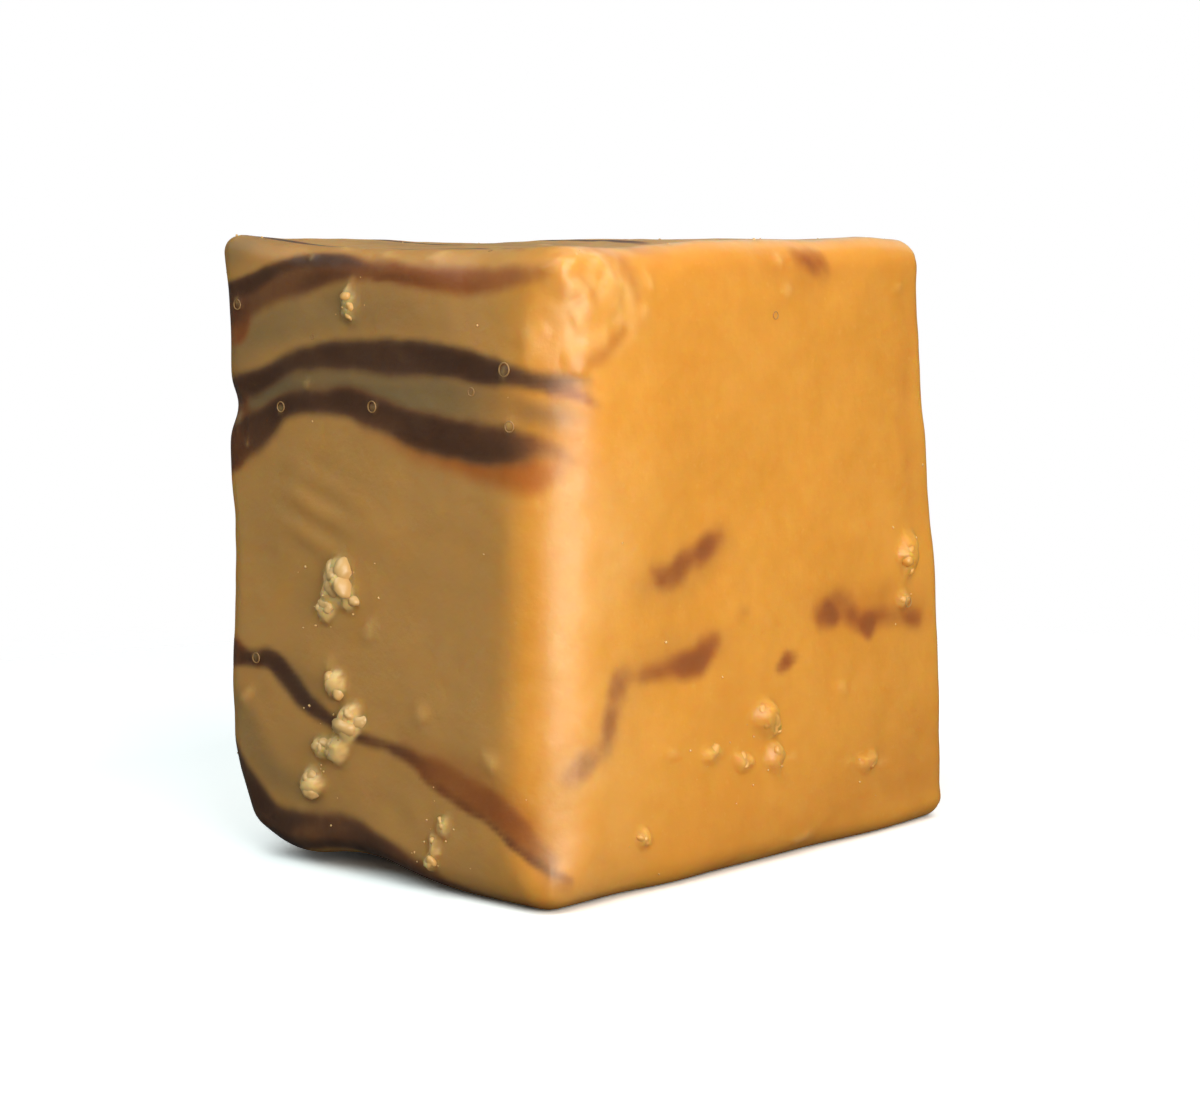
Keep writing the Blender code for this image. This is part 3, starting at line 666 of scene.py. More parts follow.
# Lumps of sugar that lie just below the skin.
LOW_LUMPS = (
    *crumbs_on(Side.BROAD, (-13.3, 28.6, 2.0, 2.0, 0), (-10.7, 27.7, 2.6, 1.8, 14),
               (-14.0, 25.6, 3.4, 1.5, 0), (-12.2, 26.8, 1.9, 1.3, -10), (-8.7, 26.8, 1.6, 1.2, 0),
               (-8.0, 28.1, 1.0, 1.0, 0), (-12.5, 24.7, 1.5, 1.4, 30), (-11.4, 28.9, 1.1, 1.3, 0),
               (1.5, 28.9, 0.9, 1.3, 0), (2.2, 27.6, 0.7, 1.3, 0), (11.6, 27.7, 0.8, 1.1, 0),
               (-6.4, 6.4, 1.0, 1.3, 0), (2.6, 5.0, 0.6, 1.2, 0), (7.1, 4.1, 0.5, 1.2, 0),
               (10.0, 3.7, 0.5, 1.1, 0), (3.3, 0.9, 0.8, 2.4, 0), (6.4, 8.0, 1.2, 1.4, 0)),
    *crumbs_on(Side.STREAKED, (0.9, 12.0, 1.0, 1.4, 40), (3.4, 10.0, 1.1, 1.0, 0),
               (9.4, 7.9, 1.4, 1.3, 0), (-2.5, 8.4, 1.1, 1.1, 0), (-6.9, 6.7, 1.2, 1.4, 0),
               (0.2, 29.3, 0.8, 1.7, 0), (-2.8, 29.2, 0.8, 1.5, 0), (3.5, 29.6, 0.6, 1.8, 0),
               (10.0, 21.5, 1.1, 1.0, 0), (2.1, 28.1, 1.0, 0.8, 0), (5.0, 23.2, 0.7, 0.9, 0),
               (9.8, 26.9, 0.8, 0.8, 0), (6.85, 22.1, 0.8, 0.8, 0), (0.6, 22.35, 0.9, 0.8, 0),
               (-7.6, 24.3, 0.9, 1.0, 0), (-7.9, 21.8, 0.8, 0.8, 0), (8.6, 9.9, 0.8, 0.8, 0),
               (5.0, 29.2, 0.6, 0.8, 0), (9.2, 20.2, 0.7, 0.7, 0)),
    *crumbs_on(Side.RIGHT, (-6.8, 14.2, 1.4, 1.1, 20), (-6.1, 13.4, 0.9, 1.0, 0),
               (2.4, 12.6, 1.2, 1.0, -15), (5.9, 14.8, 0.8, 1.1, 0), (-1.4, 5.2, 1.3, 1.2, 30),
               (-0.6, 4.4, 0.9, 0.8, 0), (7.2, 5.4, 0.9, 1.0, 0)),
    *crumbs_on(Side.BACK, (-3.1, 21.3, 1.3, 1.1, 15), (4.6, 23.4, 1.0, 1.2, 0),
               (5.4, 22.7, 0.8, 0.8, 0), (9.8, 12.4, 1.4, 1.2, -20), (-8.4, 13.6, 0.9, 1.1, 0),
               (1.1, 5.6, 1.1, 1.0, 0)),
    *crumbs_on(Side.TOP, (-6.9, -3.2, 1.0, 1.3, 0), (3.4, 3.8, 1.2, 1.0, 25), (4.2, 4.5, 0.7, 0.8, 0),
               (10.3, 6.4, 0.9, 1.1, 0)),
)


class Wiring:
    """Adds nodes to a tree and joins them."""

    def __init__(self, tree: bpy.types.NodeTree) -> None:
        """Keeps the tree that the nodes go to."""
        self.tree = tree

    def node(self, kind: str, inputs: dict | None = None, **settings: object) -> bpy.types.Node:
        """Adds a node.

        Args:
            kind: the node's type.
            inputs: what its sockets get, by name or number: a value, or a socket to join.
            settings: the node's own properties.

        Returns:
            The node.
        """
        made = self.tree.nodes.new(kind)
        for name, value in settings.items():
            setattr(made, name, value)
        for name, value in (inputs or {}).items():
            if isinstance(value, Socket):
                self.tree.links.new(value, made.inputs[name])
            else:
                made.inputs[name].default_value = value
        return made

    def maths(self, operation: str, first: object, second: object = 0.0) -> Socket:
        """The result of a Math node on two values or sockets."""
        return self.node("ShaderNodeMath", {0: first, 1: second}, operation=operation).outputs[0]

    def blend(self, share: object, first: object, second: object) -> Socket:
        """Mixes two colours.

        Args:
            share: how much of the second colour shows, from 0 to 1.
            first: the first colour, or a socket with it.
            second: the second.

        Returns:
            The socket with the mixed colour.
        """
        made = self.node("ShaderNodeMix", {"Factor": share}, data_type="RGBA")
        for place, value in ((6, first), (7, second)):
            if isinstance(value, Socket):
                self.tree.links.new(value, made.inputs[place])
            else:
                made.inputs[place].default_value = value
        return made.outputs[2]

    def stepped(self, value: object, low: float, high: float) -> Socket:
        """A value taken smoothly from low to high, as a share from 0 to 1."""
        inputs = {"Value": value, "From Min": low, "From Max": high}
        return self.node("ShaderNodeMapRange", inputs, interpolation_type="SMOOTHSTEP").outputs["Result"]

    def attribute(self, name: str) -> Socket:
        """The values that a mesh carries under a name."""
        return self.node("ShaderNodeAttribute", attribute_name=name).outputs["Fac"]

    def mottle(self, places: Socket, size: float, detail: float = 3.0, rough: float = 0.5) -> Socket:
        """Noise from 0 to 1 at a size in mm."""
        inputs = {"Vector": places, "Scale": 1 / (size * MM), "Detail": detail, "Roughness": rough}
        return self.node("ShaderNodeTexNoise", inputs).outputs["Fac"]


def new_group(name: str, inputs: dict[str, object], outputs: dict[str, str]) -> ShaderGroup:
    """An empty shader group.

    Args:
        name: the group's name.
        inputs: the default of each input; a colour for a colour, None for a vector.
        outputs: the socket type of each output.

    Returns:
        The group's tree.
    """
    kinds = {type(None): "NodeSocketVector", tuple: "NodeSocketColor", float: "NodeSocketFloat"}
    tree = bpy.data.node_groups.new(name, "ShaderNodeTree")
    for label, value in inputs.items():
        kind = kinds[type(value)]
        socket = tree.interface.new_socket(label, in_out="INPUT", socket_type=kind)
        if value is not None:
            socket.default_value = value
    for label, kind in outputs.items():
        tree.interface.new_socket(label, in_out="OUTPUT", socket_type=kind)
    return tree


@dataclass(frozen=True)
class CaramelTone:
    """A group for the colour of boiled sugar and butter, cloudy in two sizes and faintly specked."""

    name: str = "caramel_tone"
    cloud_size: float = 7.0
    cloud_share: float = 0.65
    cloud_steps: tuple[float, float] = (0.32, 0.68)
    curd_size: float = 1.1
    curd_share: float = 0.35
    curd_steps: tuple[float, float] = (0.3, 0.75)
    speck_size: float = 0.35
    speck_steps: tuple[float, float] = (0.66, 0.8)

    def build(self) -> ShaderGroup:
        """Builds the group.

        Returns:
            The group, with the places, the two caramels and the speck's colour as inputs.
        """
        white = (1.0, 1.0, 1.0, 1.0)
        inputs = {"Places": None, "Pale": white, "Deep": white, "Speck": white, "Speck Amount": 0.5}
        tree = new_group(self.name, inputs, {"Color": "NodeSocketColor"})
        wiring = Wiring(tree)
        given = tree.nodes.new("NodeGroupInput").outputs
        cloud = wiring.stepped(wiring.mottle(given["Places"], self.cloud_size), *self.cloud_steps)
        curd = wiring.stepped(wiring.mottle(given["Places"], self.curd_size), *self.curd_steps)
        share = wiring.maths("MULTIPLY", curd, self.curd_share)
        share = wiring.maths("ADD", share, wiring.maths("MULTIPLY", cloud, self.cloud_share))
        colour = wiring.blend(share, given["Deep"], given["Pale"])
        speck = wiring.mottle(given["Places"], self.speck_size, 1.0)
        speck = wiring.stepped(speck, *self.speck_steps)
        speck = wiring.maths("MULTIPLY", speck, given["Speck Amount"])
        colour = wiring.blend(speck, colour, given["Speck"])
        wiring.node("NodeGroupOutput", {"Color": colour})
        return tree


@dataclass(frozen=True)
class WaxySkin:
    """A group for the fine relief and shine of set fudge: soft grain, drag lines and pinpricks."""

    name: str = "waxy_skin"
    lump_size: float = 0.9
    grain_size: float = 0.16
    grain_detail: float = 4.0
    grain_roughness: float = 0.6
    drag_length: float = 5.0
    drag_breadth: float = 0.5

    def build(self) -> ShaderGroup:
        """Builds the group.

        Returns:
            The group, with the places, the amounts and the middle roughness as inputs.
        """
        amounts = {"Grain": 0.5, "Drag": 0.5, "Roughness": 0.4, "Roughness Change": 0.2}
        outputs = {"Height": "NodeSocketFloat", "Roughness": "NodeSocketFloat"}
        tree = new_group(self.name, {"Places": None, **amounts}, outputs)
        wiring = Wiring(tree)
        given = tree.nodes.new("NodeGroupInput").outputs
        lumps = wiring.mottle(given["Places"], self.lump_size, 2.0)
        grain = wiring.mottle(given["Places"], self.grain_size, self.grain_detail, self.grain_roughness)
        drawn_out = wiring.node("ShaderNodeMapping", {"Vector": given["Places"]})
        drawn_out.inputs["Scale"].default_value = (self.drag_breadth / self.drag_length, 1.0, 1.0)
        drag = wiring.mottle(drawn_out.outputs[0], self.drag_breadth, 2.0)
        height = wiring.maths("MULTIPLY", grain, given["Grain"])
        height = wiring.maths("ADD", height, wiring.maths("MULTIPLY", drag, given["Drag"]))
        height = wiring.maths("ADD", height, lumps)
        change = wiring.maths("MULTIPLY", wiring.maths("SUBTRACT", lumps, 0.5), given["Roughness Change"])
        rough = wiring.maths("ADD", given["Roughness"], wiring.maths("MULTIPLY", change, 2.0))
        wiring.node("NodeGroupOutput", {"Height": height, "Roughness": rough})
        return tree


@dataclass(frozen=True)
class SugarGroups:
    """The groups that several finishes share."""

    tone: ShaderGroup = field(default_factory=lambda: CaramelTone().build())
    skin: ShaderGroup = field(default_factory=lambda: WaxySkin().build())


@dataclass(frozen=True)
class SugarFinish:
    """A finish of cooked sugar: its colours, how far light goes into it, and how it shines."""

    name: str
    pale: Colour
    deep: Colour
    speck: Colour
    speck_amount: float
    scatter_weight: float = 1.0
    scatter_depth: float = 1.3 * MM
    scatter_colours: tuple[float, float, float] = (1.0, 0.45, 0.12)
    roughness: float = 0.42
    roughness_change: float = 0.2
    grain: float = 0.2
    drag: float = 0.4
    bump_depth: float = 0.03 * MM
    gloss: float = 0.6
    coat: float = 0.1
    coat_roughness: float = 0.25

    def colour(self, wiring: Wiring, places: Socket, groups: SugarGroups) -> Socket:
        """The colour over the surface.

        Args:
            wiring: what adds nodes to the material.
            places: the socket with the surface's places.
            groups: the shared groups.

        Returns:
            The socket with the colour.
        """
        inputs = {"Places": places, "Pale": self.pale, "Deep": self.deep, "Speck": self.speck}
        inputs["Speck Amount"] = self.speck_amount
        return self.placed(wiring, groups.tone, inputs).outputs["Color"]

    def scatter_scale(self, wiring: Wiring) -> object:
        """How deep light goes in, in metres."""
        return self.scatter_depth

    def placed(self, wiring: Wiring, group: ShaderGroup, inputs: dict) -> bpy.types.Node:
        """Places a group in the material.

        Args:
            wiring: what adds nodes to the material.
            group: the group.
            inputs: what its inputs get: values, or sockets to join.

        Returns:
            The group's node.
        """
        made = wiring.node("ShaderNodeGroup", node_tree=group)
        for name, value in inputs.items():
            if isinstance(value, Socket):
                wiring.tree.links.new(value, made.inputs[name])
            else:
                made.inputs[name].default_value = value
        return made

    def material(self, groups: SugarGroups) -> bpy.types.Material:
        """Builds the material.

        Args:
            groups: the shared groups.

        Returns:
            The finished material.
        """
        made = bpy.data.materials.new(self.name)
        made.use_nodes = True
        made.node_tree.nodes.clear()
        wiring = Wiring(made.node_tree)
        places = wiring.node("ShaderNodeTexCoord").outputs["Object"]
        inputs = {"Places": places, "Grain": self.grain, "Drag": self.drag}
        inputs |= {"Roughness": self.roughness, "Roughness Change": self.roughness_change}
        skin = self.placed(wiring, groups.skin, inputs)
        relief = {"Height": skin.outputs["Height"], "Distance": self.bump_depth}
        bump = wiring.node("ShaderNodeBump", relief)
        shader = wiring.node("ShaderNodeBsdfPrincipled", {
            "Base Color": self.colour(wiring, places, groups),
            "Roughness": skin.outputs["Roughness"],
            "Normal": bump.outputs["Normal"],
            "Specular IOR Level": self.gloss,
            "Subsurface Weight": self.scatter_weight,
            "Subsurface Radius": self.scatter_colours,
            "Subsurface Scale": self.scatter_scale(wiring),
            "Coat Weight": self.coat,
            "Coat Roughness": self.coat_roughness,
        })
        wiring.node("ShaderNodeOutputMaterial", {"Surface": shader.outputs["BSDF"]})
        return made


@dataclass(frozen=True)
class CrumbFinish(SugarFinish):
    """The finish of the crumbs, some of which are nearly as dark as the caramel round them."""

    caramel: Colour = (0.80, 0.37, 0.06, 1.0)

    def colour(self, wiring: Wiring, places: Socket, groups: SugarGroups) -> Socket:
        """The set sugar, mixed with caramel by how pale each crumb is."""
        sugar = super().colour(wiring, places, groups)
        return wiring.blend(wiring.attribute("paleness"), self.caramel, sugar)


@dataclass(frozen=True)
class MarbledFinish(SugarFinish):
    """The finish of the block: caramel with chocolate worked into it, paler where sugar has set and where
    a highlight is painted, with painted cool shade on its cut sides.
    """

    chocolate: Colour = (0.085, 0.032, 0.012, 1.0)
    cold_chocolate: Colour = (0.17, 0.08, 0.034, 1.0)
    warm_chocolate: Colour = (0.42, 0.125, 0.024, 1.0)
    # Also the colour of the painted highlight on the worn edge, which rides on the sugar mask.
    set_sugar: Colour = (0.93, 0.60, 0.24, 1.0)
    # The colour of the painted cool shade on the cut sides.
    cool_shade_colour: Colour = (0.635, 0.325, 0.092, 1.0)
    haze_and_shade: Colour = (0.22, 0.156, 0.074, 1.0)
    red_haze_and_shade: Colour = (0.50, 0.13, 0.015, 1.0)
    cool_shade_size: float = 3.0
    cool_shade_steps: tuple[float, float] = (-0.3, 0.5)
    ragged_size: float = 0.9
    ragged_detail: float = 2.5
    ragged_amount: float = 0.16
    thin_up_to: float = 0.75
    core_steps: tuple[float, float] = (0.5, 1.0)
    core_lost_to_warmth: float = 0.75
    fleck_size: float = 0.5
    fleck_detail: float = 2.0
    fleck_amount: float = 0.6
    sugar_scatter: float = 0.1

    def colour(self, wiring: Wiring, places: Socket, groups: SugarGroups) -> Socket:
        """The caramel, with the painted cool shade, the hazes and painted shade, the chocolate, and the
        set sugar and painted highlight over it.

        Args:
            wiring: what adds nodes to the material.
            places: the socket with the surface's places.
            groups: the shared groups.

        Returns:
            The socket with the colour.
        """
        colour = super().colour(wiring, places, groups)
        # Painted cool shade on the cut sides, for the streaked side's cooler, dimmer light.
        cool_shade = wiring.stepped(wiring.mottle(places, self.cool_shade_size), *self.cool_shade_steps)
        cool_shade = wiring.maths("MULTIPLY", wiring.attribute("cool_shade"), cool_shade)
        colour = wiring.blend(cool_shade, colour, self.cool_shade_colour)
        # The hazes are mostly chocolate below the skin; a few are painted shade.
        haze_and_shade = wiring.blend(wiring.attribute("smear_and_shade_warmth"), self.haze_and_shade, self.red_haze_and_shade)
        colour = wiring.blend(wiring.attribute("smear_and_shade"), colour, haze_and_shade)
        ragged = wiring.mottle(places, self.ragged_size, self.ragged_detail)
        ragged = wiring.maths("SUBTRACT", ragged, 0.5)
        density = wiring.attribute("streak")
        ragged = wiring.maths("MULTIPLY", ragged, wiring.stepped(density, 0.0, self.ragged_amount))
        density = wiring.maths("ADD", density, wiring.maths("MULTIPLY", ragged, self.ragged_amount))
        warmth = wiring.attribute("streak_warmth")
        thin = wiring.blend(warmth, self.cold_chocolate, self.warm_chocolate)
        colour = wiring.blend(wiring.stepped(density, 0.0, self.thin_up_to), colour, thin)
        cold = wiring.maths("MULTIPLY", warmth, self.core_lost_to_warmth)
        cold = wiring.maths("SUBTRACT", 1.0, cold)
        core = wiring.maths("MULTIPLY", wiring.stepped(density, *self.core_steps), cold)
        colour = wiring.blend(core, colour, self.chocolate)
        flecks = wiring.mottle(places, self.fleck_size, self.fleck_detail)
        flecks = wiring.maths("MULTIPLY", flecks, self.fleck_amount)
        flecks = wiring.maths("ADD", flecks, 1.0 - self.fleck_amount / 2)
        sugar = wiring.stepped(wiring.maths("MULTIPLY", wiring.attribute("sugar"), flecks), 0.0, 1.0)
        return wiring.blend(sugar, colour, self.set_sugar)

    def scatter_scale(self, wiring: Wiring) -> object:
        """How deep light goes in: less far where sugar has set and where the highlight is painted.

        Args:
            wiring: what adds nodes to the material.

        Returns:
            The socket with the depth in metres.
        """
        clear = wiring.maths("SUBTRACT", 1.0, wiring.attribute("sugar"))
        share = wiring.maths("MAXIMUM", clear, self.sugar_scatter)
        return wiring.maths("MULTIPLY", share, self.scatter_depth)


@dataclass
class FudgeBlock:
    """The block with its marbling, in one mesh.

    Fields that end in wave, reach or height are lengths in metres. The heights of lumps and crumbs
    are shares of their smaller size, and what tells where the worn edge, the painted highlight and
    the rough patch lie is in mm on the true block.
    """

    form: CutBlock
    finish: MarbledFinish
    rows: tuple[int, int, int] = (134, 100, 136)
    marks: tuple[Mark, ...] = (
        STREAKED_MARKS + BROAD_MARKS + RIGHT_MARKS + BACK_MARKS + TOP_MARKS + BOTTOM_MARKS
    )
    least_facing: float = 0.35
    far_off: float = 4.0
    wander_wave: float = 2.6 * MM
    wander_reach: float = 0.22 * MM
    wander_offset: tuple[float, float, float] = (11, 5, 2)
    stray_wave: float = 1.5 * MM
    thinning: float = 1.6
    thinning_stretch: tuple[float, float, float] = (1.0, 0.4, 1.0)
    clear_of_foot: float = 1.2 * MM
    skin_wave: float = 1.3 * MM
    skin_height: float = 0.03 * MM
    pressed_wave: float = 3.6 * MM
    pressed_height: float = 0.07 * MM
    pressed_stretch: tuple[float, float, float] = (1.0, 1.0, 0.2)
    lump_wander_wave: float = 0.8 * MM
    lump_wander_reach: float = 0.3 * MM
    lump_wander_offset: tuple[float, float, float] = (7, 1, 5)
    lump_edge: float = 1.15
    lump_height: float = 0.10
    lump_paleness: float = 0.32
    crumb_height: float = 0.36
    crumb_edge: float = 1.15
    crumb_slope: float = 0.75
    crumb_pale_rise: float = 2.0
    crumb_knob_wave: float = 0.55 * MM
    crumb_knobs: float = 0.5
    # The painted cool shade on the cut sides, and where it is lifted near the lit worn edge.
    cool_shade_from: float = 0.88
    cool_shade_over: float = 0.12
    cool_shade_cloud: float = 0.04
    cool_shade_wave: float = 1.24 * MM
    shade_lifted: float = 0.85
    shade_lifted_from: float = -5.6
    shade_lifted_over: float = 4.0
    shade_lifted_facing: float = 0.5
    # The painted highlight: paleness laid along the worn edge and beside it on the broad side, where the
    # key light's sheen falls.
    highlight_facing: tuple[float, float] = (0.3, 0.48)
    highlight_to: float = -4.5
    highlight_over: float = 8.5
    highlight_paleness: float = 0.31
    highlight_above: float = 0.3
    highlight_below: float = 23.0
    highlight_fade: float = 5.0
    highlight_wave: float = 2.4 * MM
    highlight_cloud: float = 0.6
    patch_centre: tuple[float, float] = (-11.2, 27.3)
    patch_spread: tuple[float, float] = (2.8, 2.4)
    patch_facing: tuple[float, float] = (0.1, 0.5)
    patch_edge: float = 1.6
    patch_fade: float = 1.1
    patch_height: float = 0.06 * MM
    patch_wave: float = 0.62 * MM
    patch_stretch: tuple[float, float, float] = (1.0, 1.0, 0.7)
    patch_paleness: float = 0.2
    patch_lump_paleness: float = 0.26
    places: Places = field(init=False)
    outward: Places = field(init=False)
    squares: Places = field(init=False)
    lump_wander: Places = field(init=False)
    skin: Places = field(init=False)

    def __post_init__(self) -> None:
        """Works out the bare surface, which the crumbs and grains are placed on."""
        unit, self.squares = cube_grid(self.rows)
        self.places, self.outward = self.form.surface(self.form.crowded(unit))
        self.lump_wander = wandered(
            self.places, self.lump_wander_wave, self.lump_wander_reach, self.lump_wander_offset
        )
        self.skin = self.places

    def on_side(self, side: Side, along: Places, up: Places) -> tuple[Places, Places]:
        """Finds the skin at places given on a side.

        Args:
            side: the side.
            along: how far along it, in mm.
            up: how far up it, in mm.

        Returns:
            The places, and the way out at each.
        """
        ways = side.ways()
        facing = np.flatnonzero(self.outward @ ways[0] > self.least_facing)
        flat = self.skin[facing] @ ways[1:].T
        asked = np.stack([along, up], axis=1) * MM
        nearest = facing[np.argmin(((asked[:, None] - flat[None]) ** 2).sum(axis=2), axis=1)]
        depth = self.skin[nearest] @ ways[0]
        return asked @ ways[1:] + depth[:, None] * ways[0], self.outward[nearest]

    def mark_gaps(self, line: Places, places: Places) -> tuple[Places, Places]:
        """Measures how far places are from a mark.

        Args:
            line: the mark's line, each row a place and then its half-width, density and warmth.
            places: the places to measure from.

        Returns:
            The distance from the mark's edge in mm, negative inside it, and its density and
            warmth there.
        """
        start, way = line[:-1, :3], line[1:, :3] - line[:-1, :3]
        length = np.maximum((way**2).sum(axis=1), 1e-12)
        share = np.clip(((places[:, None] - start) * way).sum(axis=2) / length, 0, 1)
        away = np.linalg.norm(places[:, None] - start - share[..., None] * way, axis=2) / MM
        rest = line[None, :-1, 3:] + share[..., None] * (line[1:, 3:] - line[:-1, 3:])
        gap = away - rest[..., 0]
        best = np.argmin(gap, axis=1)
        rows = np.arange(len(places))
        return gap[rows, best], rest[rows, best, 1:]

    def layer_values(self, layer: Layer) -> dict[str, Places]:
        """Lays the marks of one layer over the surface.

        Args:
            layer: streaks or smears.

        Returns:
            The layer's values for the mesh, by name.
        """
        count = len(self.places)
        clear, warmth, total = np.ones(count), np.zeros(count), np.full(count, 1e-6)
        moved = self.places + wandered(
            self.places, self.wander_wave, self.wander_reach, self.wander_offset
        )
        stray = noise_at(self.places, self.stray_wave, Offset.STRAY.value)
        stray += noise_at(self.places, self.stray_wave / 2, Offset.FINE_STRAY.value) / 2
        drawn_out = self.places * np.array(self.thinning_stretch)
        thin = noise_at(drawn_out, self.stray_wave, Offset.THINNING.value)
        thin = ease(0.5 + self.thinning * thin)
        for mark in self.marks:
            if mark.layer is not layer:
                continue
            line = mark.line()
            spots, _ = self.on_side(mark.side, line[:, 0], line[:, 1])
            line = np.concatenate([spots, line[:, 2:]], axis=1)
            low = spots.min(axis=0) - self.far_off * MM
            high = spots.max(axis=0) + self.far_off * MM
            near = np.flatnonzero(((moved > low) & (moved < high)).all(axis=1))
            gap, rest = self.mark_gaps(line, moved[near])
            amount = ease(0.5 - (gap + stray[near] * mark.ragged) / (2 * mark.softness)) * rest[:, 0]
            amount *= 1 - mark.blotches * thin[near]
            clear[near] *= 1 - np.clip(amount, 0, 1)
            warmth[near] += amount * rest[:, 1]
            total[near] += amount
        return {layer.value: 1 - clear, f"{layer.value}_warmth": warmth / total}

    def cool_shade(self) -> Places:
        """Painted cool shade: a duller, greyer colour laid on the cut sides for the cooler, dimmer light
        on the streaked side, lifted near the lit worn edge.

        Returns:
            How much of it lies at each place, from 0 to 1.
        """
        facing = np.hypot(self.outward[:, 0], self.outward[:, 2])
        cloud = noise_at(self.places, self.cool_shade_wave, Offset.COOL_SHADE.value)
        cool_shade = ease((facing - self.cool_shade_from + self.cool_shade_cloud * cloud) / self.cool_shade_over)
        worn = ease((self.shade_lifted_from - self.places[:, 1] / MM) / self.shade_lifted_over)
        worn *= ease(-self.outward[:, 0] / self.shade_lifted_facing)
        return cool_shade * (1 - self.shade_lifted * worn)

    def painted_highlight(self) -> Places:
        """A painted highlight: paleness laid on the worn edge and the skin beside it, where the key
        light's sheen falls, stronger below the upper streaks.

        Returns:
            How pale each place is, from 0 to 1.
        """
        start, span = self.highlight_facing
        facing = ease((self.outward @ Side.BROAD.ways()[0] - start) / span)
        near = ease((self.highlight_to - self.places[:, 0] / MM) / self.highlight_over)
        low = ease((self.highlight_below - self.places[:, 2] / MM) / self.highlight_fade)
        near *= self.highlight_above + (1 - self.highlight_above) * low
        cloud = noise_at(self.places, self.highlight_wave, Offset.HIGHLIGHT.value)
        cloud = 1 + self.highlight_cloud * cloud
        return self.highlight_paleness * facing * near * cloud

    def patch(self) -> Places:
        """The rough patch of set sugar beside the top of the worn edge.

        Returns:
            How much of it shows at each place, from 0 to 1.
        """
        start, span = self.patch_facing
        facing = ease((self.outward @ Side.BROAD.ways()[0] - start) / span)
        across = (self.places[:, 0] / MM - self.patch_centre[0]) / self.patch_spread[0]
        up = (self.places[:, 2] / MM - self.patch_centre[1]) / self.patch_spread[1]
        return ease((self.patch_edge - np.hypot(across, up)) / self.patch_fade) * facing

    def closeness(self, crumb: Crumb) -> Places:
        """Measures how near places are to a crumb.

        Args:
            crumb: the crumb.

        Returns:
            How many of its half-sizes each place is from its middle.
        """
        spot, _ = self.on_side(crumb.side, np.array([crumb.along]), np.array([crumb.up]))
        out_way, along_way, up_way = crumb.side.ways()
        turn = math.radians(crumb.turn)
        away = (self.places + self.lump_wander - spot) / MM
        lengthwise = away @ (up_way * math.cos(turn) + along_way * math.sin(turn)) * 2 / crumb.length
        breadthwise = away @ (along_way * math.cos(turn) - up_way * math.sin(turn)) * 2 / crumb.breadth
        return np.sqrt(lengthwise**2 + breadthwise**2 + (away @ out_way) ** 2)

    def raised(self, crumbs: tuple[Crumb, ...]) -> tuple[Places, Places]:
        """Raises the skin, the rough patch, the low lumps and the crumbs.

        Args:
            crumbs: the crumbs that stand on the block.

        Returns:
            How far each place moves out, and how much set sugar and painted highlight show there.
        """
        above_foot = ease(self.places[:, 2] / self.clear_of_foot)
        height = noise_at(self.places, self.skin_wave, Offset.SKIN.value) * self.skin_height
        drawn_out = self.places * np.array(self.pressed_stretch)
        pressed = noise_at(drawn_out, self.pressed_wave, Offset.PRESSED.value)
        height += pressed * self.pressed_height * np.abs(self.outward[:, 1])
        patch = self.patch()
        drawn_out = self.places * np.array(self.patch_stretch)
        lumps = 0.5 + noise_at(drawn_out, self.patch_wave, Offset.PATCH.value)
        height += self.patch_height * patch * np.maximum(lumps, 0)
        pale = np.clip(self.patch_paleness + self.patch_lump_paleness * lumps, 0, 1)
        # The sugar mask also carries the painted highlight of the worn edge.
        sugar = np.maximum(self.painted_highlight(), patch * pale)
        for lump in LOW_LUMPS:
            hill = ease(self.lump_edge - self.closeness(lump))
            height += hill * self.lump_height * min(lump.breadth, lump.length) * MM
            sugar = np.maximum(sugar, self.lump_paleness * hill)
        knobs = noise_at(self.places, self.crumb_knob_wave, Offset.KNOBS.value)
        knobs = 1 + self.crumb_knobs * knobs
        crust = np.zeros(len(self.places))
        for crumb in crumbs:
            dome = ease((self.crumb_edge - self.closeness(crumb)) / self.crumb_slope)
            across = min(crumb.breadth, crumb.length) * MM
            crust = np.maximum(crust, dome * knobs * self.crumb_height * across)
            sugar = np.maximum(sugar, crumb.paleness * ease(self.crumb_pale_rise * dome))
        height += crust
        return height * above_foot, sugar

    def build(self, crumbs: tuple[Crumb, ...], groups: SugarGroups) -> bpy.types.Object:
        """Makes the block's object.

        Args:
            crumbs: the crumbs that stand on it.
            groups: the shared shader groups.

        Returns:
            The object, in the true block's own place.
        """
        height, sugar = self.raised(crumbs)
        self.skin = self.places + self.outward * height[:, None]
        mesh = bpy.data.meshes.new("fudge_block")
        mesh.from_pydata(self.skin.tolist(), [], self.squares.tolist())
        values = {"sugar": sugar, "cool_shade": self.cool_shade()}
        values.update(self.layer_values(Layer.STREAK))
        values.update(self.layer_values(Layer.SMEAR))
        values["sugar"] = sugar * (1 - self.patch() * values["smear_and_shade"])
        for name, amounts in values.items():
            carried = mesh.attributes.new(name, "FLOAT", "POINT")
            carried.data.foreach_set("value", amounts.astype(np.float32))
        mesh.shade_smooth()
        mesh.materials.append(self.finish.material(groups))
        block = bpy.data.objects.new("fudge_block", mesh)
        bpy.context.scene.collection.objects.link(block)
        return block


@dataclass(frozen=True)
class Seed:
    """Where something small sits, its three sizes in metres, its turn and how pale it is."""

    place: Vector
    sizes: Vector
    turn: tuple[float, float, float]
    paleness: float = 1.0


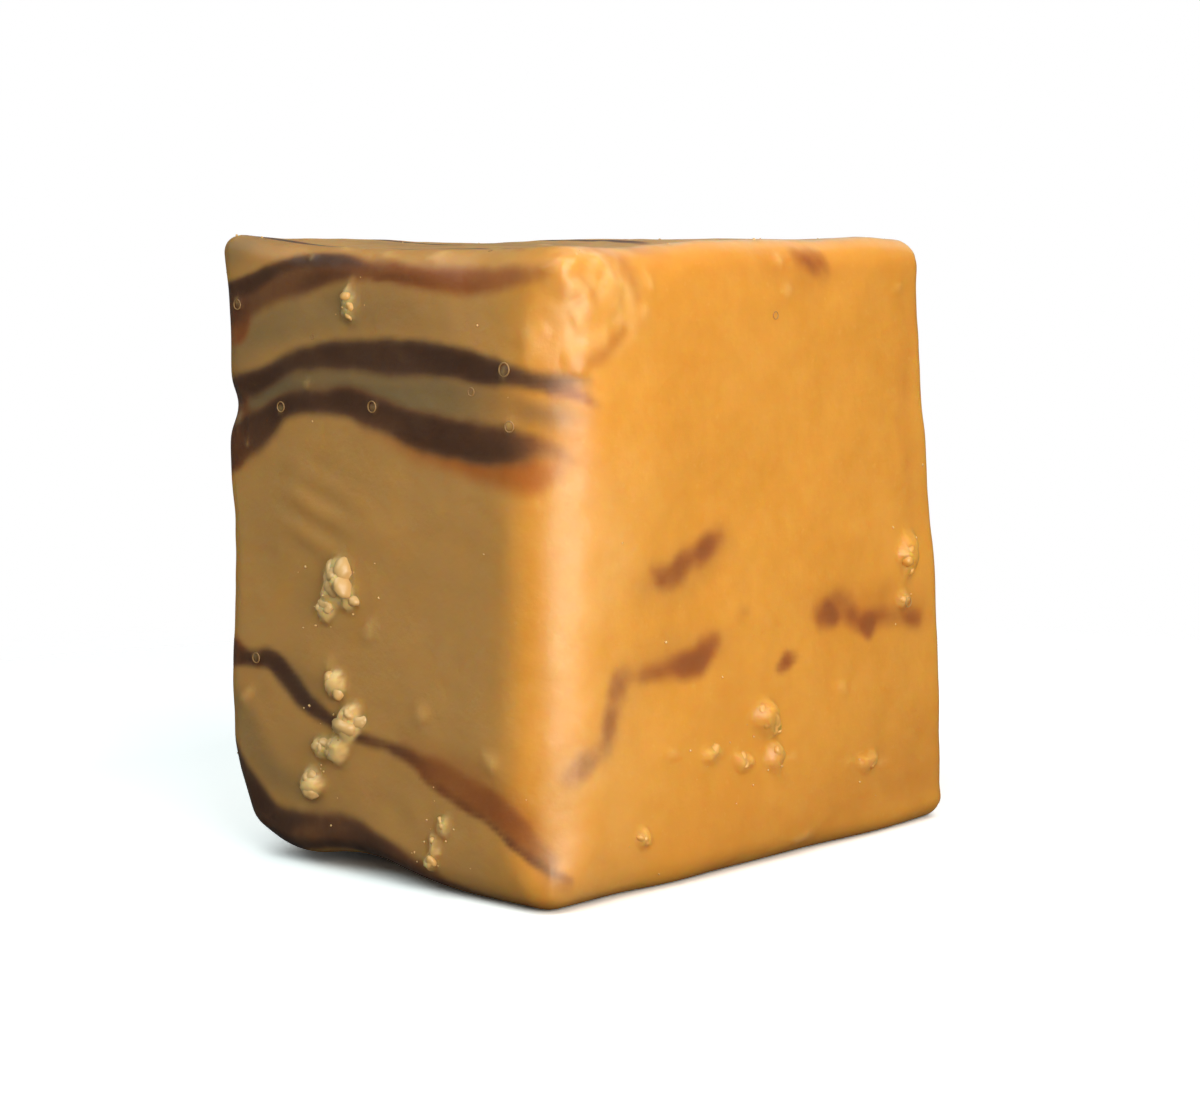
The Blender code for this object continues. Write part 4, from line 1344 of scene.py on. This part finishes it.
def seeds_mesh(name: str, seeds: list[Seed]) -> bpy.types.Mesh:
    """A mesh of loose places that carry sizes and turns.

    Args:
        name: the mesh's name.
        seeds: what the places carry.

    Returns:
        The mesh.
    """
    mesh = bpy.data.meshes.new(name)
    mesh.from_pydata([seed.place for seed in seeds], [], [])
    carried = {"sizes": [seed.sizes for seed in seeds], "turn": [seed.turn for seed in seeds]}
    for label, values in carried.items():
        flat = np.array([tuple(value) for value in values], np.float32).reshape(-1)
        mesh.attributes.new(label, "FLOAT_VECTOR", "POINT").data.foreach_set("vector", flat)
    paleness = [seed.paleness for seed in seeds]
    mesh.attributes.new("paleness", "FLOAT", "POINT").data.foreach_set("value", paleness)
    return mesh


def turned_to(outward: Places, degrees: float) -> tuple[float, float, float]:
    """The turn that stands something's Z on the surface and spins it about that.

    Args:
        outward: the way out of the surface.
        degrees: how far it spins.

    Returns:
        The turn as three angles.
    """
    stand = Vector(outward).to_track_quat("Z", "Y").to_matrix()
    return tuple((stand @ Matrix.Rotation(math.radians(degrees), 3, "Z")).to_euler())


class GrowthTree(Wiring):
    """A Geometry Nodes tree that sets a small shape on each of a mesh's places."""

    def __init__(self, name: str, inputs: dict[str, object]) -> None:
        """Starts the tree.

        Args:
            name: the tree's name.
            inputs: its named inputs with their values, a material among them.
        """
        super().__init__(bpy.data.node_groups.new(name, "GeometryNodeTree"))
        self.values = inputs
        self.tree.interface.new_socket("Geometry", in_out="INPUT", socket_type="NodeSocketGeometry")
        for label, value in inputs.items():
            kinds = {int: "NodeSocketInt", float: "NodeSocketFloat"}
            kind = kinds.get(type(value), "NodeSocketMaterial")
            self.tree.interface.new_socket(label, in_out="INPUT", socket_type=kind)
        self.tree.interface.new_socket("Geometry", in_out="OUTPUT", socket_type="NodeSocketGeometry")
        self.given = self.tree.nodes.new("NodeGroupInput").outputs

    def carried(self, label: str) -> Socket:
        """The vector that each place carries under a name."""
        kind = "GeometryNodeInputNamedAttribute"
        return self.node(kind, {"Name": label}, data_type="FLOAT_VECTOR").outputs[0]

    def set_out(self, shape: Socket) -> Socket:
        """Sets a shape on every place, at its size and turn.

        Args:
            shape: the socket with the shape.

        Returns:
            The socket with the shapes, as real mesh.
        """
        turn = self.node("FunctionNodeEulerToRotation", {0: self.carried("turn")}).outputs[0]
        inputs = {"Points": self.given["Geometry"], "Instance": shape, "Rotation": turn}
        inputs["Scale"] = self.carried("sizes")
        placed = self.node("GeometryNodeInstanceOnPoints", inputs).outputs["Instances"]
        return self.node("GeometryNodeRealizeInstances", {0: placed}).outputs[0]

    def lumpy(self, shape: Socket, size: str, height: str, offset: float) -> Socket:
        """The shape with its skin pushed in and out.

        Args:
            shape: the shape.
            size: the input that holds the lumps' size.
            height: the input that holds their height.
            offset: where in the noise to read.

        Returns:
            The changed shape.
        """
        place = self.node("GeometryNodeInputPosition").outputs[0]
        step = {0: place, 1: (offset, 0.0, 0.0)}
        moved = self.node("ShaderNodeVectorMath", step, operation="ADD").outputs[0]
        lumps = {"Vector": moved, "Scale": self.maths("DIVIDE", 1.0, self.given[size]), "Detail": 1.0}
        value = self.node("ShaderNodeTexNoise", lumps).outputs[0]
        push = self.maths("MULTIPLY", self.maths("SUBTRACT", value, 0.5), self.given[height])
        normal = self.node("GeometryNodeInputNormal").outputs[0]
        way = {0: normal, "Scale": push}
        shift = self.node("ShaderNodeVectorMath", way, operation="SCALE").outputs[0]
        return self.node("GeometryNodeSetPosition", {"Geometry": shape, "Offset": shift}).outputs[0]

    def finish(self, shape: Socket, smooth: bool) -> None:
        """Shades the result, gives it its material and ends the tree.

        Args:
            shape: the socket with the result.
            smooth: whether it is shaded smooth.
        """
        shading = {"Geometry": shape, "Shade Smooth": smooth}
        shaded = self.node("GeometryNodeSetShadeSmooth", shading).outputs[0]
        finish = {"Geometry": shaded, "Material": self.given["Finish"]}
        self.node("NodeGroupOutput", {0: self.node("GeometryNodeSetMaterial", finish).outputs[0]})

    def grow(self, name: str, seeds: bpy.types.Mesh) -> bpy.types.Object:
        """Runs the tree on a mesh of places.

        Args:
            name: the name of the piece.
            seeds: the places.

        Returns:
            The piece, as a plain mesh.
        """
        host = bpy.data.objects.new(f"{name}_places", seeds)
        bpy.context.scene.collection.objects.link(host)
        growth = host.modifiers.new(name, "NODES")
        growth.node_group = self.tree
        for item in self.tree.interface.items_tree:
            if item.item_type == "SOCKET" and item.in_out == "INPUT" and item.name in self.values:
                growth[item.identifier] = self.values[item.name]
        graph = bpy.context.evaluated_depsgraph_get()
        mesh = bpy.data.meshes.new_from_object(host.evaluated_get(graph), depsgraph=graph)
        bpy.data.objects.remove(host)
        mesh.name = name
        piece = bpy.data.objects.new(name, mesh)
        bpy.context.scene.collection.objects.link(piece)
        return piece


@dataclass(frozen=True)
class SugarKernels:
    """The kernels of set sugar that a crumb is made of, each with most of its body inside the crumb."""

    finish: SugarFinish
    seed: int = 21
    per_square_mm: float = 1.3
    fewest: int = 3
    spread: float = 0.3
    smallest: float = 0.17
    largest: float = 0.33
    lengths: tuple[float, float] = (0.9, 1.4)
    breadths: tuple[float, float] = (0.7, 1.0)
    sunk: float = 0.84
    dull_sunk: float = 0.13
    fineness: int = 3
    lobe_size: float = 0.4 * MM
    lobe_height: float = 0.26 * MM
    lobe_offset: float = 0.4

    def seeds(self, crumb: Crumb, body: FudgeBlock, draw: random.Random) -> list[Seed]:
        """Draws the kernels of one crumb over its middle.

        Args:
            crumb: the crumb.
            body: the block.
            draw: the random numbers.

        Returns:
            The kernels' seeds.
        """
        made = []
        turn = math.radians(crumb.turn)
        sunk = self.sunk + self.dull_sunk * (1 - crumb.paleness)
        count = max(self.fewest, round(crumb.length * crumb.breadth * self.per_square_mm))
        for _ in range(count):
            reach, way = self.spread * math.sqrt(draw.random()), draw.uniform(0, math.tau)
            lengthwise = reach * crumb.length * math.cos(way)
            breadthwise = reach * crumb.breadth * math.sin(way)
            along = crumb.along + lengthwise * math.sin(turn) + breadthwise * math.cos(turn)
            up = crumb.up + lengthwise * math.cos(turn) - breadthwise * math.sin(turn)
            spots, outward = body.on_side(crumb.side, np.array([along]), np.array([up]))
            size = draw.uniform(self.smallest, self.largest) * min(crumb.length, crumb.breadth) * MM
            length, breadth = draw.uniform(*self.lengths), draw.uniform(*self.breadths)
            sizes = Vector((size * length, size * breadth, size))
            place = Vector(spots[0]) - Vector(outward[0]) * size * sunk
            turned = turned_to(outward[0], draw.uniform(0, 360))
            made.append(Seed(place, sizes, turned, crumb.paleness))
        return made

    def build(self, body: FudgeBlock, crumbs: tuple[Crumb, ...], groups: SugarGroups) -> bpy.types.Object:
        """Grows the kernels on the block.

        Args:
            body: the block.
            crumbs: the crumbs that they belong to.
            groups: the shared shader groups.

        Returns:
            The kernels as one piece.
        """
        draw = random.Random(self.seed)
        seeds = [seed for crumb in crumbs for seed in self.seeds(crumb, body, draw)]
        tree = GrowthTree("grow_kernels", {
            "Fineness": self.fineness,
            "Lobe Size": self.lobe_size,
            "Lobe Height": self.lobe_height,
            "Finish": self.finish.material(groups),
        })
        sizes = {"Radius": 1.0, "Subdivisions": tree.given["Fineness"]}
        shape = tree.set_out(tree.node("GeometryNodeMeshIcoSphere", sizes).outputs["Mesh"])
        tree.finish(tree.lumpy(shape, "Lobe Size", "Lobe Height", self.lobe_offset), True)
        return tree.grow("sugar_crumbs", seeds_mesh("crumb_places", seeds))


@dataclass(frozen=True)
class SugarGrains:
    """Fine crystals of sugar that stand on the skin, most of them round the crumbs."""

    finish: SugarFinish
    seed: int = 12
    count: int = 110
    near_share: float = 0.55
    near_spread: float = 1.2
    smallest: float = 0.03 * MM
    largest: float = 0.08 * MM
    unevenness: tuple[float, float] = (0.7, 1.2)

    def spot(
        self, body: FudgeBlock, crumbs: tuple[Crumb, ...], draw: random.Random
    ) -> tuple[Places, Places]:
        """Draws a place for one grain: near a crumb, or anywhere on the skin.

        Args:
            body: the block.
            crumbs: the crumbs.
            draw: the random numbers.

        Returns:
            The place, and the way out there.
        """
        if draw.random() < self.near_share:
            crumb = draw.choice(crumbs)
            along = draw.gauss(crumb.along, self.near_spread)
            up = draw.gauss(crumb.up, self.near_spread)
            spots, outward = body.on_side(crumb.side, np.array([along]), np.array([up]))
            return spots[0], outward[0]
        number = draw.randrange(len(body.places))
        return body.places[number], body.outward[number]

    def build(self, body: FudgeBlock, crumbs: tuple[Crumb, ...], groups: SugarGroups) -> bpy.types.Object:
        """Grows the grains on the block.

        Args:
            body: the block.
            crumbs: the crumbs that the grains gather round.
            groups: the shared shader groups.

        Returns:
            The grains as one piece.
        """
        draw = random.Random(self.seed)
        seeds = []
        while len(seeds) < self.count:
            spot, outward = self.spot(body, crumbs, draw)
            size = draw.uniform(self.smallest, self.largest)
            sizes = Vector([size * draw.uniform(*self.unevenness) for _ in range(3)])
            if spot[2] > size:
                seeds.append(Seed(Vector(spot), sizes, turned_to(outward, draw.uniform(0, 360))))
        tree = GrowthTree("grow_grains", {"Finish": self.finish.material(groups)})
        crystal = tree.node("GeometryNodeMeshIcoSphere", {"Radius": 1.0, "Subdivisions": 1})
        tree.finish(tree.set_out(crystal.outputs["Mesh"]), False)
        return tree.grow("sugar_grains", seeds_mesh("grain_places", seeds))


@dataclass(frozen=True)
class PoppedBubbles:
    """The rims of small air bubbles that opened at the skin."""

    finish: SugarFinish
    placed: tuple[tuple[Side, float, float, float], ...] = (
        (Side.STREAKED, 9.8, 26.9, 0.24),
        (Side.STREAKED, 6.85, 22.1, 0.24),
        (Side.STREAKED, 0.6, 22.35, 0.26),
        (Side.STREAKED, -7.6, 24.3, 0.30),
        (Side.STREAKED, -7.9, 21.8, 0.24),
        (Side.STREAKED, 8.6, 9.9, 0.24),
        (Side.BROAD, 11.8, 11.7, 0.24),
    )
    seed: int = 5
    scattered: int = 14
    smallest: float = 0.10
    largest: float = 0.2
    above_foot: float = 2.0 * MM
    rim: float = 0.12
    steps: int = 14
    rim_steps: int = 6

    def build(self, body: FudgeBlock, groups: SugarGroups) -> bpy.types.Object:
        """Grows the rims on the block.

        Args:
            body: the block.
            groups: the shared shader groups.

        Returns:
            The rims as one piece.
        """
        draw = random.Random(self.seed)
        seeds = []
        for side, along, up, radius in self.placed:
            spots, outward = body.on_side(side, np.array([along]), np.array([up]))
            sizes = Vector((radius,) * 3) * MM
            seeds.append(Seed(Vector(spots[0]), sizes, turned_to(outward[0], 0)))
        while len(seeds) < len(self.placed) + self.scattered:
            number = draw.randrange(len(body.places))
            radius = draw.uniform(self.smallest, self.largest)
            if body.places[number][2] > self.above_foot:
                turn = turned_to(body.outward[number], 0)
                sizes = Vector((radius,) * 3) * MM
                seeds.append(Seed(Vector(body.places[number]), sizes, turn))
        tree = GrowthTree("grow_rims", {
            "Rim": self.rim,
            "Steps": self.steps,
            "Rim Steps": self.rim_steps,
            "Finish": self.finish.material(groups),
        })
        circle = "GeometryNodeCurvePrimitiveCircle"
        ring = tree.node(circle, {"Resolution": tree.given["Steps"], "Radius": 1.0})
        section = {"Resolution": tree.given["Rim Steps"], "Radius": tree.given["Rim"]}
        section = tree.node(circle, section)
        curves = {"Curve": ring.outputs[0], "Profile Curve": section.outputs[0]}
        shape = tree.node("GeometryNodeCurveToMesh", curves)
        tree.finish(tree.set_out(shape.outputs[0]), True)
        return tree.grow("bubble_rims", seeds_mesh("rim_places", seeds))


@dataclass(frozen=True)
class PhotoCamera:
    """The camera: where it stood, in mm on the true block, and how wide it sees."""

    place: tuple[float, float, float] = (-100.9, -88.84, 29.8)
    aim: tuple[float, float, float] = (0.2, -0.6, 14.6)
    lens: float = 81.0

    def build(self, shift: Vector) -> bpy.types.Object:
        """Sets up the camera, moved as the block is.

        Args:
            shift: how far the block has moved.

        Returns:
            The camera.
        """
        data = bpy.data.cameras.new("photo_camera")
        data.lens = self.lens
        data.clip_start = 1 * MM
        camera = bpy.data.objects.new("photo_camera", data)
        place, aim = Vector(self.place) * MM + shift, Vector(self.aim) * MM + shift
        turn = (aim - place).to_track_quat("-Z", "Y").to_matrix().to_4x4()
        camera.matrix_world = Matrix.Translation(place) @ turn
        bpy.context.scene.collection.objects.link(camera)
        bpy.context.scene.camera = camera
        return camera


@dataclass(frozen=True)
class Softbox:
    """A square of soft light: the way to it, its distance and width in metres, its power in watts."""

    name: str
    way: tuple[float, float, float]
    distance: float
    width: float
    power: float
    colour: tuple[float, float, float] = (1.0, 1.0, 1.0)

    def build(self, aim: Vector) -> None:
        """Hangs the light.

        Args:
            aim: the place that it is turned to.
        """
        data = bpy.data.lights.new(self.name, "AREA")
        data.size = self.width
        data.energy = self.power
        data.color = self.colour
        light = bpy.data.objects.new(self.name, data)
        way = Vector(self.way).normalized()
        turn = way.to_track_quat("Z", "Y").to_matrix().to_4x4()
        light.matrix_world = Matrix.Translation(aim + way * self.distance) @ turn
        light.visible_camera = False
        bpy.context.scene.collection.objects.link(light)


@dataclass(frozen=True)
class Studio:
    """A pale floor that fades into a pale surround, and soft lights."""

    floor_radius: float = 0.5
    floor_steps: int = 96
    floor_colour: Colour = (1.70, 1.68, 1.66, 1.0)
    floor_bounce: Colour = (0.12, 0.12, 0.12, 1.0)
    fade_from: float = 0.032
    fade_to: float = 0.085
    surround: Colour = (1.0, 1.0, 1.0, 1.0)
    fill: float = 0.08
    lights: tuple[Softbox, ...] = (
        Softbox("key_light", (-0.41, -0.90, 0.16), 0.115, 0.09, 0.119, (1.0, 0.99, 0.92)),
        Softbox("high_light", (0.10, -0.78, 0.90), 0.10, 0.05, 0.030, (1.0, 0.98, 0.94)),
        Softbox("left_light", (-0.62, 0.10, 0.78), 0.36, 0.30, 0.68, (0.80, 0.97, 1.0)),
        Softbox("top_light", (0.05, 0.10, 1.0), 0.45, 0.45, 0.3),
        Softbox("back_light", (0.85, 0.25, 0.60), 0.40, 0.30, 0.25),
    )

    def floor(self) -> bpy.types.Object:
        """Lays a round floor, clear towards its rim so that it has no horizon.

        Returns:
            The floor.
        """
        mesh = bpy.data.meshes.new("floor")
        steps = [math.tau * number / self.floor_steps for number in range(self.floor_steps)]
        rim = [Vector((math.cos(step), math.sin(step), 0.0)) * self.floor_radius for step in steps]
        mesh.from_pydata(rim, [], [list(range(len(rim)))])
        floor = bpy.data.objects.new("floor", mesh)
        bpy.context.scene.collection.objects.link(floor)
        material = bpy.data.materials.new("pale_floor")
        material.use_nodes = True
        material.node_tree.nodes.clear()
        wiring = Wiring(material.node_tree)
        places = wiring.node("ShaderNodeTexCoord").outputs["Object"]
        reach = wiring.node("ShaderNodeVectorMath", {0: places}, operation="LENGTH").outputs["Value"]
        clear = wiring.stepped(reach, self.fade_from, self.fade_to)
        eye = wiring.node("ShaderNodeLightPath").outputs["Is Camera Ray"]
        colour = wiring.blend(eye, self.floor_bounce, self.floor_colour)
        pale = wiring.node("ShaderNodeBsdfDiffuse", {"Color": colour}).outputs["BSDF"]
        through = wiring.node("ShaderNodeBsdfTransparent").outputs["BSDF"]
        mixed = wiring.node("ShaderNodeMixShader", {0: clear, 1: pale, 2: through}).outputs["Shader"]
        wiring.node("ShaderNodeOutputMaterial", {"Surface": mixed})
        mesh.materials.append(material)
        return floor

    def world(self) -> None:
        """A pale surround to the eye that gives the piece only a little light."""
        world = bpy.data.worlds.new("surround")
        world.use_nodes = True
        world.node_tree.nodes.clear()
        wiring = Wiring(world.node_tree)
        seen = wiring.node("ShaderNodeBackground", {"Color": self.surround, "Strength": 1.0})
        lit = wiring.node("ShaderNodeBackground", {"Color": self.surround, "Strength": self.fill})
        eye = wiring.node("ShaderNodeLightPath").outputs["Is Camera Ray"]
        mixed = wiring.node("ShaderNodeMixShader", {0: eye, 1: lit.outputs[0], 2: seen.outputs[0]})
        wiring.node("ShaderNodeOutputWorld", {"Surface": mixed.outputs[0]})
        bpy.context.scene.world = world

    def build(self) -> None:
        """Sets up the floor, the surround and the lights."""
        self.floor()
        self.world()
        aim = (CAD_BOX[0] + CAD_BOX[1]) / 2
        for light in self.lights:
            light.build(aim)
        bpy.context.scene.view_settings.view_transform = "Standard"


def dressed(piece: bpy.types.Object) -> None:
    """Hands a finished piece to the frame.

    Args:
        piece: the piece.
    """
    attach(piece, BODY)
    log.info("%s: %d faces", piece.name, len(piece.data.polygons))


def main() -> None:
    """Builds the piece and the studio round it."""
    logging.basicConfig(level=logging.INFO, format="%(message)s")
    groups = SugarGroups()
    finish = MarbledFinish(
        name="marbled_caramel",
        pale=(0.82, 0.380, 0.058, 1.0),
        deep=(0.75, 0.322, 0.038, 1.0),
        speck=(0.86, 0.47, 0.12, 1.0),
        speck_amount=0.2,
    )
    sugar = CrumbFinish(
        name="set_sugar",
        pale=(0.81, 0.51, 0.21, 1.0),
        deep=(0.74, 0.43, 0.15, 1.0),
        speck=(0.86, 0.58, 0.27, 1.0),
        speck_amount=0.6,
        scatter_weight=0.0,
        roughness=0.36,
        bump_depth=0.02 * MM,
    )
    crystal = replace(sugar, name="sugar_crystal", roughness=0.22)
    rim = replace(
        sugar,
        name="bubble_rim",
        pale=(0.47, 0.25, 0.09, 1.0),
        deep=(0.40, 0.20, 0.06, 1.0),
        speck=(0.56, 0.31, 0.12, 1.0),
    )
    body = FudgeBlock(CutBlock(), finish)
    block = body.build(PLACED_CRUMBS, groups)
    low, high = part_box(NODE)
    corners = np.array([vertex.co for vertex in block.data.vertices])
    own_low, own_high = Vector(corners.min(axis=0)), Vector(corners.max(axis=0))
    shift = (Vector(low) + Vector(high) - own_low - own_high) / 2
    shift.z = -own_low.z
    log.info("shift of the block in mm: %s", [round(value / MM, 3) for value in shift])
    pieces = [
        block,
        SugarKernels(sugar).build(body, PLACED_CRUMBS, groups),
        SugarGrains(crystal).build(body, PLACED_CRUMBS, groups),
        PoppedBubbles(rim).build(body, groups),
    ]
    for piece in pieces:
        piece.data.transform(Matrix.Translation(shift))
        dressed(piece)
    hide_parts(NODE)
    PhotoCamera().build(shift)
    Studio().build()


if __name__ == "__main__":
    main()
